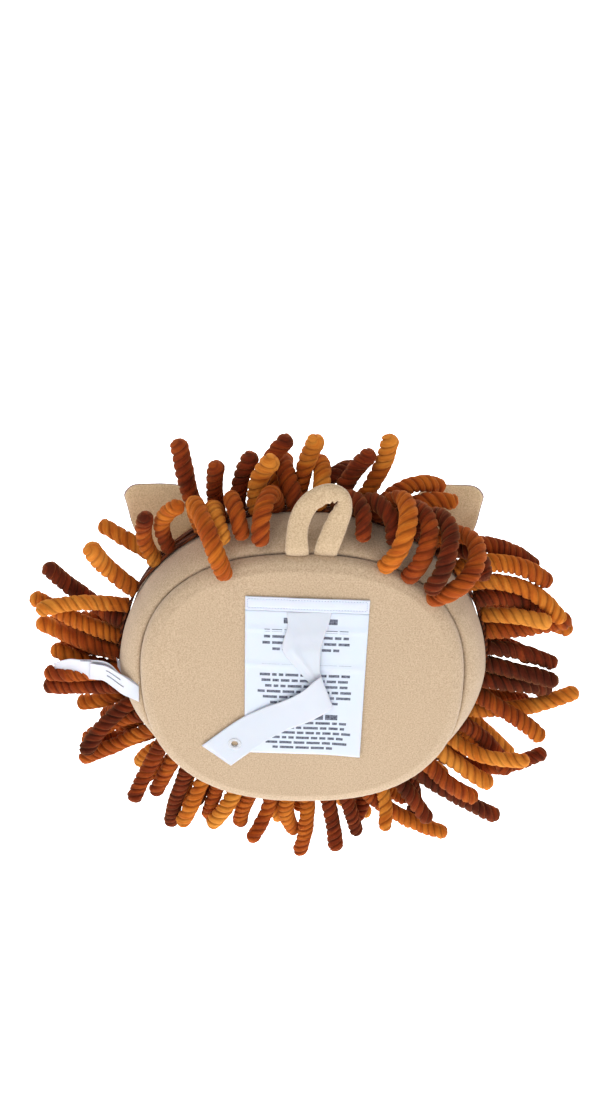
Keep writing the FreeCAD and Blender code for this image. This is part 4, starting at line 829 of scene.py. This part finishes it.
def split_words(draw, left, right, least, most):
    """Cuts a line into word-long stretches, as pairs of their ends."""
    made, x = [], left
    while x < right - least:
        length = min(draw.uniform(least, most), right - x)
        made.append((x, x + length))
        x += length + 1.3
    return made


def bar_faces(first, cuts):
    """Faces of a printed bar: square rings of points joined to each other, and closed at both ends."""
    last = first + (cuts - 1) * 4
    ends = [(first, first + 3, first + 2, first + 1), (last, last + 1, last + 2, last + 3)]
    return ring_faces(cuts, 4, first=first) + ends


def make_bars():
    """Plain grey bars of uneven length, in three blocks under a heading bar each."""
    draw = random.Random(4)
    rows = []
    blocks = [(43.2, 34.4, 4, 4.35, (-19, 18), 30.5), (10.6, 2.9, 6, 4.1, (-29, 30), 31.0),
              (-26.0, -32.6, 6, 3.85, (-22, 22), 31.0)]
    for heading, first_line, lines, spacing, span, reach in blocks:
        rows.append((heading, 3.9, split_words(draw, span[0], span[1], 6.0, 12.0)))
        for k in range(lines):
            side = reach * (draw.uniform(0.62, 0.75) if k == lines - 1 else draw.uniform(0.84, 1.0))
            rows.append((first_line - spacing * k + 0.9, 1.9, split_words(draw, -side, side, 2.6, 9.5)))
    points, faces = [], []
    for z, tall, words in rows:
        for left, right in words:
            cuts = max(2, int((right - left) / 2.5) + 1)
            first = len(points)
            for k in range(cuts):
                x = left + (right - left) * k / (cuts - 1)
                for zz, up in ((z, 0.17), (z - tall, 0.17), (z - tall, 0.12), (z, 0.12)):
                    points.append(on_label(x, label_lift(x, zz) + up, zz))
            faces += bar_faces(first, cuts)
    settle(add_mesh("label_bars", points, faces, MATERIALS["ink"], smooth=False), "label", "satin")


def make_hem_stitches(top, low, half, lift):
    """One thread's visible stitches along the hem's outline, each dipping into the cloth at its ends."""
    inset, pitch = 1.5, 1.75
    spots = []
    count = int((2 * half - 2 * inset) / pitch)
    for k in range(count):
        x = -half + inset + (k + 0.5) * (2 * half - 2 * inset) / count
        spots += [(x, top - inset, 1, 0), (x, low + inset, 1, 0)]
    for k in range(4):
        z = top - inset - (k + 0.5) * (HEM_MM - 2 * inset) / 4
        spots += [(-half + inset, z, 0, 1), (half - inset, z, 0, 1)]
    points, faces = [], []
    for x, z, along_x, along_z in spots:
        rings = []
        for share, rise, thick in ((-0.5, -0.05, 0.1), (-0.35, 0.3, 0.2), (0, 0.42, 0.22), (0.35, 0.3, 0.2),
                                   (0.5, -0.05, 0.1)):
            cx, cz = x + share * 1.05 * along_x, z + share * 1.05 * along_z
            ring = []
            for s in range(6):
                a = 2 * math.pi * s / 6
                across = thick * math.cos(a)
                ring.append(on_label(cx + across * along_z, lift(x, z) + rise + thick * math.sin(a),
                                     cz + across * along_x))
            rings.append(ring)
        first = len(points)
        p, f = capped(rings, sum(rings[0], Vector()) / 6, sum(rings[-1], Vector()) / 6)
        points += p
        faces += [tuple(first + i for i in face) for face in f]
    settle(add_mesh("hem_stitches", points, faces, MATERIALS["thread"]), "head", "thread", "header_thread")


# ------------------------------------------------------------------------------- ribbon and its eyelet
# Rows across the ribbon in mm, from the hem to its cut end: X, Z and height above the wall plane of the edge
# towards +X, then of the other edge.
RIBBON_ROWS_MM = [
    (8.9, 56.7, 0.9, -18.6, 56.7, 0.9), (8.4, 48.3, 1.3, -17.2, 50.0, 1.5),
    (10.2, 41.0, 1.6, -15.0, 43.0, 2.2), (12.0, 33.0, 1.4, -13.0, 36.5, 2.6), (10.6, 27.0, 1.2, -12.0, 30.5, 2.8),
    (5.7, 20.0, 1.1, -11.6, 25.0, 2.8), (0.2, 13.0, 1.1, -11.5, 20.5, 2.8), (-6.5, 4.5, 1.1, -11.5, 17.0, 2.8),
    (-13.0, -3.4, 1.2, -11.8, 14.8, 3.0), (-18.0, -7.2, 1.9, -12.2, 13.7, 3.6), (-19.6, -9.5, 2.9, -12.0, 13.2, 4.4),
    (-17.6, -12.5, 3.6, -10.6, 12.2, 5.0), (-11.7, -16.7, 3.6, -6.4, 8.4, 5.0), (-5.5, -21.0, 3.0, -2.3, 3.7, 4.4),
    (2.9, -25.4, 2.3, 3.8, -1.2, 3.6), (11.2, -29.6, 1.7, 13.5, -6.6, 2.8), (23.9, -38.1, 1.3, 25.0, -11.9, 2.0),
    (36.8, -48.8, 1.1, 41.5, -21.6, 1.4), (47.2, -57.6, 1.2, 65.8, -41.7, 1.3),
]


def make_ribbon():
    """The ribbon: it leaves the hem, turns over once in a soft fold, and runs down to its cut end."""
    steps, across = 152, 22
    grid = []
    for k, (left_x, left_z, left_up, right_x, right_z, right_up) in enumerate(spline(RIBBON_ROWS_MM, steps)):
        row = []
        for c in range(across + 1):
            t = c / across
            x, z = left_x * (1 - t) + right_x * t, left_z * (1 - t) + right_z * t
            before = math.exp(-((k / steps - 0.25) ** 2) / 0.012)
            fold = 1.1 * math.exp(-((t - 0.35 - 0.5 * (k / steps - 0.2)) ** 2) / 0.012) * before
            crown = 0.5 * math.sin(math.pi * t) * before
            wave = 0.22 * rough((x, k / steps, z), 8.0, 31.0) * min(1.0, k / 12)
            row.append(Vector((x, left_up * (1 - t) + right_up * t + crown + fold + wave, z)) * MM)
        grid.append(row)
    piece = cloth("ribbon", grid, 0.25 * MM, MATERIALS["ribbon"])
    low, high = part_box("strip_eyelet")
    centre = (low + high) / 2
    punch(piece, centre, (high.x - low.x) / 2 - 1.4 * MM)
    settle(piece, "strip", "ribbon", "hang_strip")
    repaint("strip_eyelet", "clear")
    repaint("eyelet_washer", "clear")
    for node in ("strip_eyelet", "eyelet_washer"):
        polygons = frame["nodes"][node].data.polygons
        polygons.foreach_set("use_smooth", [True] * len(polygons))


def punch(piece, centre, radius):
    """Cuts a round hole through a sheet along Y."""
    bpy.ops.mesh.primitive_cylinder_add(vertices=40, radius=radius, depth=20 * MM, location=centre,
                                        rotation=(math.pi / 2, 0, 0))
    tool = bpy.context.object
    made = piece.modifiers.new("hole", "BOOLEAN")
    made.operation, made.object, made.solver = "DIFFERENCE", tool, "EXACT"
    shape = bpy.data.meshes.new_from_object(piece.evaluated_get(bpy.context.evaluated_depsgraph_get()))
    piece.modifiers.clear()
    piece.data = shape
    bpy.data.objects.remove(tool)


# -------------------------------------------------------------------------------------- care label
# Each leaf from the seam outwards, in mm: X, Y, Z of its upper edge, then of its lower edge.
CARE_LEAVES_MM = {
    "care_long": [
        (106.1, -8.2, -1.6, 107.1, -8.2, -14.1),
        (112.8, -10, 2.8, 113.5, -12.5, -13.4),
        (119.2, -13, 4.5, 120.4, -18.5, -13.8),
        (125.4, -17.5, 8.1, 129.7, -24, -9.6),
        (131.6, -20.5, 9.2, 137.1, -29, -10.2),
        (140.9, -25, 7.4, 145.7, -34.5, -12.3),
        (149, -28, 5.8, 151.7, -37, -12.7),
        (157.9, -31.5, 4.2, 159, -39, -13.8),
        (169.7, -35, -1.2, 171.1, -42, -16.8),
    ],
    "care_short": [
        (105.8, -7.4, -2.3, 106.7, -7.4, -13.9),
        (112.6, -8.8, 2.4, 112.8, -11.2, -13.5),
        (118.1, -11.8, 4.4, 120, -17, -13.8),
        (127.9, -17.5, 6.7, 132.4, -25, -9.3),
        (135.2, -21, 6.3, 139.7, -29.5, -10.5),
        (141.2, -24, 5.6, 145.7, -33, -12.1),
    ],
    "care_near": [
        (104.8, -9, 7.1, 105.8, -8, -0.6),
        (108.7, -12.5, 6.3, 109.1, -11, -2.1),
        (113.3, -17, 5.6, 113, -14.5, -2.7),
        (118.7, -22, 5.5, 118.5, -18.5, -0.6),
        (124.3, -28, 7.5, 123.1, -24.5, 2.6),
    ],
}


def care_point(row, t):
    """A point across a leaf, from its upper edge at 0 to its lower edge at 1, slightly curled."""
    upper, lower = Vector(row[:3]), Vector(row[3:])
    place = upper.lerp(lower, t)
    free = min(1.0, max(0.0, (place.x - 108) / 20))
    place.y += free * (2.6 * (t - 0.5) ** 2 + 0.35 * rough(place, 9.0, 41.0))
    return place


def make_care_label():
    """Two free leaves that stand out over the mane, and a third that lies on the gusset."""
    for name, body, node, flat_mm in (("care_long", "care_label", "care_leaf_long", (17, 74)),
                                      ("care_short", "care_label", "care_leaf_short", (17, 43)),
                                      ("care_near", "head", "care_flap", (10, 26))):
        grid = [[care_point(row, c / 12) * MM for c in range(13)] for row in spline(CARE_LEAVES_MM[name], 40)]
        piece = cloth(name + "_leaf", grid, 0.25 * MM, MATERIALS["care"])
        settle(piece, body, "care_satin", node)
    points, faces = [], []
    bars = (("care_short", 0.28, 0.34, 16, 25), ("care_short", 0.56, 0.62, 14, 24),
            ("care_long", 0.03, 0.1, 24, 30))
    for name, upper, lower, first_k, last_k in bars:
        line = spline(CARE_LEAVES_MM[name], 40)
        first = len(points)
        for k in range(first_k, last_k):
            for t, lift in ((upper, 0.34), (lower, 0.34), (lower, 0.22), (upper, 0.22)):
                points.append((care_point(line[k], t) + Vector((0, lift, 0.6 * lift))) * MM)
        cuts = last_k - first_k
        faces += bar_faces(first, cuts)
    settle(add_mesh("care_bars", points, faces, MATERIALS["ink"], smooth=False), "care_label", "care_satin")


# ------------------------------------------------------------------------------------------------ mane
def read_fingers(node):
    """Root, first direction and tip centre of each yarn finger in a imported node, from its kinds of face."""
    mesh = frame["nodes"][node].data
    where = np.array([v.co for v in mesh.vertices])
    leader = list(range(len(where)))

    def lead(k):
        while leader[k] != k:
            leader[k] = leader[leader[k]]
            k = leader[k]
        return k

    for polygon in mesh.polygons:
        corners = list(polygon.vertices)
        for other in corners[1:]:
            leader[lead(other)] = lead(corners[0])
    patches = {}
    for k in range(len(where)):
        patches.setdefault(lead(k), []).append(k)
    roots, caps, walls = [], [], []
    for members in patches.values():
        points = np.unique(np.round(where[members], 7), axis=0)
        middle = points.mean(0)
        spread, directions = np.linalg.svd(points - middle)[1:]
        if spread[-1] < 1e-6:
            roots.append((middle, directions[-1], points))
            continue
        left = np.hstack([2 * points, np.ones((len(points), 1))])
        found, _, rank, _ = np.linalg.lstsq(left, (points**2).sum(1), rcond=None)
        off = np.abs(np.linalg.norm(points - found[:3], axis=1) - np.linalg.norm(points[0] - found[:3]))
        (caps if rank == 4 and off.max() < 1e-5 else walls).append((found[:3], points))
    fingers = []
    for centre, points in caps:
        wall = min(walls, key=lambda w: nearest(points, w[1]))
        root, normal, _ = min(roots, key=lambda r: nearest(r[2], wall[1]))
        if normal.dot(wall[1].mean(0) - root) < 0:
            normal = -normal
        fingers.append((Vector(root), Vector(normal), Vector(centre)))
    return fingers


def nearest(first, second):
    """Sum of the distances from a few points of one set to their nearest points of another."""
    picked = first[:: max(1, len(first) // 12)]
    gaps = np.linalg.norm(picked[:, None, :] - second[None, :, :], axis=2)
    return float(np.sort(gaps.min(1))[: len(picked) // 2].sum())


def finger_path(root, start, tip, length_past, step, seed):
    """Points along a finger: the frame's arc, its rounded end, and a slight waver."""
    chord = tip - root
    half_bend = max(1e-3, start.angle(chord))
    radius = chord.length / 2 / math.sin(half_bend)
    side = (chord - start * chord.dot(start)).normalized()
    arc = radius * 2 * half_bend
    count = max(12, int((arc + length_past) / step))
    made = []
    for k in range(count + 1):
        s = (arc + length_past) * k / count
        turn = min(s, arc) / radius
        point = root + start * radius * math.sin(turn) + side * radius * (1 - math.cos(turn))
        if s > arc:
            point = point + (start * math.cos(turn) + side * math.sin(turn)) * (s - arc)
        waver = 1.1 * MM * min(1.0, s / (25 * MM))
        drift = Vector([rough((s, 0, seed), 0.026, seed + axis) for axis in range(3)])
        made.append(point + drift * waver)
    return made, arc + length_past


def yarn_finger(path, length, width, pitch, sides, seed, tones):
    """Points, faces, strand places, dye values and painted shade values (ply clefts and roots) of one three-ply finger.
    """
    draw = random.Random(seed)
    round_off = 5.0 * MM
    deep = draw.uniform(0.14, 0.22)
    phase = draw.uniform(0, 2 * math.pi)
    turn_rate = 2 * math.pi / (pitch * draw.uniform(0.88, 1.2))
    fat = draw.uniform(0.95, 1.06)
    rings, strands, dyes, ply_and_root_shades = [], [], [], []
    for k, ((side, up), centre) in enumerate(zip(frames_along(path), path)):
        s = length * k / (len(path) - 1)
        end = max(0.0, s - (length - round_off)) / round_off
        size = fat * math.sqrt(max(0.02, 1 - end**2)) * (1 + 0.07 * rough((s, seed, 0), 0.012, 51.0))
        plain = 0.55 * end**2
        twist = phase + turn_rate * (s + 2.2 * MM * rough((s, seed, 0), 0.014, 55.0))
        tone = tones[0] + (tones[1] - tones[0]) * s / length + 0.2 * rough((s, 0, 0), 0.02, seed + 0.5)
        ring = []
        for n in range(sides):
            a = 2 * math.pi * n / sides
            cleft = math.exp(-(math.cos(1.5 * a) ** 2) / 0.16)
            lobe = width / 2 * (1 - cleft * deep * (1 - plain))
            out = (side * math.cos(a + twist) + up * math.sin(a + twist))
            place = centre + out * lobe * size
            fuzz = 0.32 * MM * rough(place, 0.0016, 53.0) + 0.4 * MM * rough(place, 0.005, 54.0)
            ring.append(place + out * fuzz)
            strands.append((lobe / MM * math.cos(a) + seed * 17.0, lobe / MM * math.sin(a), s / MM))
            dyes.append(tone)
            # painted shade: the clefts between the plies, and the first few mm from the root, where the fingers shade
            # each other
            ply_and_root_shades.append((1 - plain) * cleft * 0.8 + 0.6 * math.exp(-s / (13 * MM)))
        rings.append(ring)
    points, faces = capped(rings, path[0], path[-1])
    for s in (0.0, length):
        strands.append((seed * 17.0, 0.0, s / MM))
        dyes.append(tones[0] if s == 0.0 else tones[1])
        ply_and_root_shades.append(0.0)
    return points, faces, strands, dyes, ply_and_root_shades


# Dye of fingers that stand out, from 0 maroon to 1 amber: tip X and Z in mm, root tone, tip tone.
TONES = [
    (77, 147, 0.1, 0.3), (70, 118, 0.6, 0.95), (101, 104, 0.8, 0.15), (128, 92, 0.2, 0.15), (132, 86, 0.7, 0.7),
    (165, 68, 0.25, 0.05), (174, 47, 0.55, 0.7), (176, 24, 0.3, 0.65), (38, 80, 0.75, 1.0), (47, 106, 0.5, 0.95),
    (54, 136, 0.2, 0.25), (38, 105, 0.3, 0.55), (34, 142, 0.25, 0.15), (19, 141, 0.8, 0.85), (9, 154, 0.35, 0.2),
    (26, 102, 0.45, 0.35), (-1, 153, 0.45, 0.5), (-13, 152, 0.5, 0.8), (-31, 103, 0.1, 0.15), (-34, 143, 0.1, 0.2),
    (-55, 99, 0.15, 0.1), (-52, 152, 0.6, 0.75), (-52, 84, 0.2, 0.8), (-66, 80, 0.15, 0.3), (-92, 111, 0.3, 0.6),
    (-84, 72, 0.45, 0.35), (-75, 57, 0.2, 0.65), (-112, 76, 0.1, 0.05), (-152, 66, 0.5, 0.1), (-158, 58, 0.8, 0.45),
    (-168, 36, 0.75, 0.75), (-180, 18, 0.45, 0.7), (-190, -32, 0.7, 0.8), (-152, -70, 0.8, 0.85), (-178, -88, 0.3, 0.2),
    (-142, -134, 0.1, 0.05), (-104, -150, 0.35, 0.7), (4, -166, 0.7, 0.4), (100, -143, 0.1, 0.2), (158, -84, 0.6, 0.4),
]


def tones_at(tip, draw):
    """Root and tip dye: those of a listed finger, or a draw of its own."""
    base = draw.uniform(0.08, 0.85)
    found = [base, min(1.0, max(0.0, base + draw.gauss(0, 0.22)))]
    for x, z, root_tone, tip_tone in TONES:
        if math.hypot(tip.x / MM - x, tip.z / MM - z) < 7:
            found = [root_tone, tip_tone]
    return found


def make_mane():
    """All yarn fingers, one piece for each packed group."""
    yarn = bpy.context.scene.lion_yarn
    draw = random.Random(yarn.seed)
    seed = 0
    for node in sorted(n for n in frame["nodes"] if n.startswith(("mane_back_", "mane_front_"))):
        points, faces, strands, dyes, ply_and_root_shades = [], [], [], [], []
        for root, start, tip in read_fingers(node):
            seed += 1
            tones = tones_at(tip, draw)
            path, length = finger_path(root, start, tip, 5.5 * MM, yarn.step, float(seed))
            width = yarn.width * draw.uniform(0.94, 1.04)
            made = yarn_finger(path, length, width, yarn.pitch, yarn.sides, seed, tones)
            first = len(points)
            points += made[0]
            faces += [tuple(first + k for k in face) for face in made[1]]
            strands += made[2]
            dyes += made[3]
            ply_and_root_shades += made[4]
        piece = add_mesh(node.replace("mane", "yarn"), points, faces, MATERIALS["yarn"])
        new = piece.data.attributes.new
        new("strand", "FLOAT_VECTOR", "POINT").data.foreach_set("vector", np.array(strands).ravel())
        new("dye", "FLOAT", "POINT").data.foreach_set("value", dyes)
        # painted shade per point, from the clefts between the plies and near the roots
        new("ply_and_root_shade", "FLOAT", "POINT").data.foreach_set("value", ply_and_root_shades)
        settle(piece, "head", "yarn_dark" if "front" in node else "yarn_light", node)


# ----------------------------------------------------------------------------------------------- stage
def make_stage():
    """A pale paper sweep, an even sky, two large soft lamps, and the camera above and behind the head."""
    stage = bpy.context.scene.lion_stage
    profile = [(2.2, -0.34), (0.2, -0.34), (-1.1, -0.34), (-1.5, -0.30), (-1.8, -0.16), (-1.95, 0.1), (-2.0, 0.5),
               (-2.0, 3.0)]
    points = [Vector((x, y, z)) for y, z in profile for x in (-3.2, 3.2)]
    faces = [(2 * k, 2 * k + 1, 2 * k + 3, 2 * k + 2) for k in range(len(profile) - 1)]
    paper, tree, shader = new_material("paper_sweep")
    set_shader(tree, shader, linear(stage.paper), roughness=1.0, emission_color=linear(stage.paper),
               emission_strength=1.3, specular_ior_level=0.0)
    sweep = add_mesh("paper_sweep", points, faces, paper)

    world = bpy.data.worlds.new("even_sky")
    world.use_nodes = True
    world.node_tree.nodes["Background"].inputs["Color"].default_value = (1.0, 0.995, 0.985, 1.0)
    world.node_tree.nodes["Background"].inputs["Strength"].default_value = stage.glow
    bpy.context.scene.world = world
    bpy.context.scene.view_settings.view_transform = "Standard"

    for name, place, size, power in (("key_lamp", (0.45, 0.75, 1.25), 0.7, stage.key),
                                     ("fill_lamp", (-1.0, 0.7, 0.5), 1.2, stage.key * 0.25)):
        lamp = bpy.data.lights.new(name, "AREA")
        lamp.size, lamp.energy = size, power
        holder = bpy.data.objects.new(name, lamp)
        holder.location = place
        holder.rotation_euler = (-Vector(place)).to_track_quat("-Z", "Y").to_euler()
        bpy.context.scene.collection.objects.link(holder)

    camera = bpy.data.cameras.new("camera")
    camera.sensor_fit, camera.sensor_width, camera.lens = "AUTO", 36.0, stage.lens
    camera.clip_start = 0.01
    holder = bpy.data.objects.new("camera", camera)
    forward = Vector((0.0117, -0.9244, -0.3811)).normalized()
    right = forward.cross(Vector((0, 0, 1))).normalized()
    turn = Matrix((right, right.cross(forward), -forward)).transposed()
    holder.matrix_world = Matrix.Translation(Vector((-0.0098, 0.4527, 0.2860))) @ turn.to_4x4()
    bpy.context.scene.collection.objects.link(holder)
    bpy.context.scene.camera = holder


# ------------------------------------------------------------------------------------------- operators
class LION_OT_shell(bpy.types.Operator):
    """Builds the panel's cover, the gusset, the face, the muzzle and the eyes"""

    bl_idname = "lion.shell"
    bl_label = "Head"

    def execute(self, context):
        make_materials()
        make_panel()
        make_filling()
        make_gusset()
        make_face()
        make_muzzle()
        make_eyes()
        return {"FINISHED"}


class LION_OT_ears(bpy.types.Operator):
    """Builds both ears"""

    bl_idname = "lion.ears"
    bl_label = "Ears"

    def execute(self, context):
        make_ears()
        return {"FINISHED"}


class LION_OT_loop(bpy.types.Operator):
    """Builds the hanging loop"""

    bl_idname = "lion.loop"
    bl_label = "Hanging loop"

    def execute(self, context):
        make_loop()
        return {"FINISHED"}


class LION_OT_labels(bpy.types.Operator):
    """Builds the satin label, the ribbon with its eyelet, and the care label"""

    bl_idname = "lion.labels"
    bl_label = "Labels and ribbon"

    def execute(self, context):
        make_label()
        make_ribbon()
        make_care_label()
        return {"FINISHED"}


class LION_OT_mane(bpy.types.Operator):
    """Builds the yarn fingers"""

    bl_idname = "lion.mane"
    bl_label = "Mane"

    def execute(self, context):
        make_mane()
        return {"FINISHED"}


class LION_OT_stage(bpy.types.Operator):
    """Builds the paper sweep, the lamps and the camera"""

    bl_idname = "lion.stage"
    bl_label = "Stage"

    def execute(self, context):
        make_stage()
        return {"FINISHED"}


OPERATORS = (LION_OT_shell, LION_OT_ears, LION_OT_loop, LION_OT_labels, LION_OT_mane, LION_OT_stage)


class LION_PT_panel(bpy.types.Panel):
    """Lists the operators in the order in which they are run"""

    bl_idname = "LION_PT_panel"
    bl_label = "Lion Head"
    bl_space_type = "VIEW_3D"
    bl_region_type = "UI"
    bl_category = "Lion Head"

    def draw(self, context):
        for operator in OPERATORS:
            self.layout.operator(operator.bl_idname)


SETTINGS = {"lion_fleece": FleeceSettings, "lion_yarn": YarnSettings, "lion_label": LabelSettings,
            "lion_stage": StageSettings}


def register():
    for name, group in SETTINGS.items():
        bpy.utils.register_class(group)
        setattr(bpy.types.Scene, name, bpy.props.PointerProperty(type=group))
    for operator in OPERATORS:
        bpy.utils.register_class(operator)
    bpy.utils.register_class(LION_PT_panel)


def unregister():
    bpy.utils.unregister_class(LION_PT_panel)
    for operator in reversed(OPERATORS):
        bpy.utils.unregister_class(operator)
    for name, group in reversed(SETTINGS.items()):
        delattr(bpy.types.Scene, name)
        bpy.utils.unregister_class(group)


def main():
    register()
    for name in ("shell", "ears", "loop", "labels", "mane", "stage"):
        getattr(bpy.ops.lion, name)()


if __name__ == "__main__":
    main()
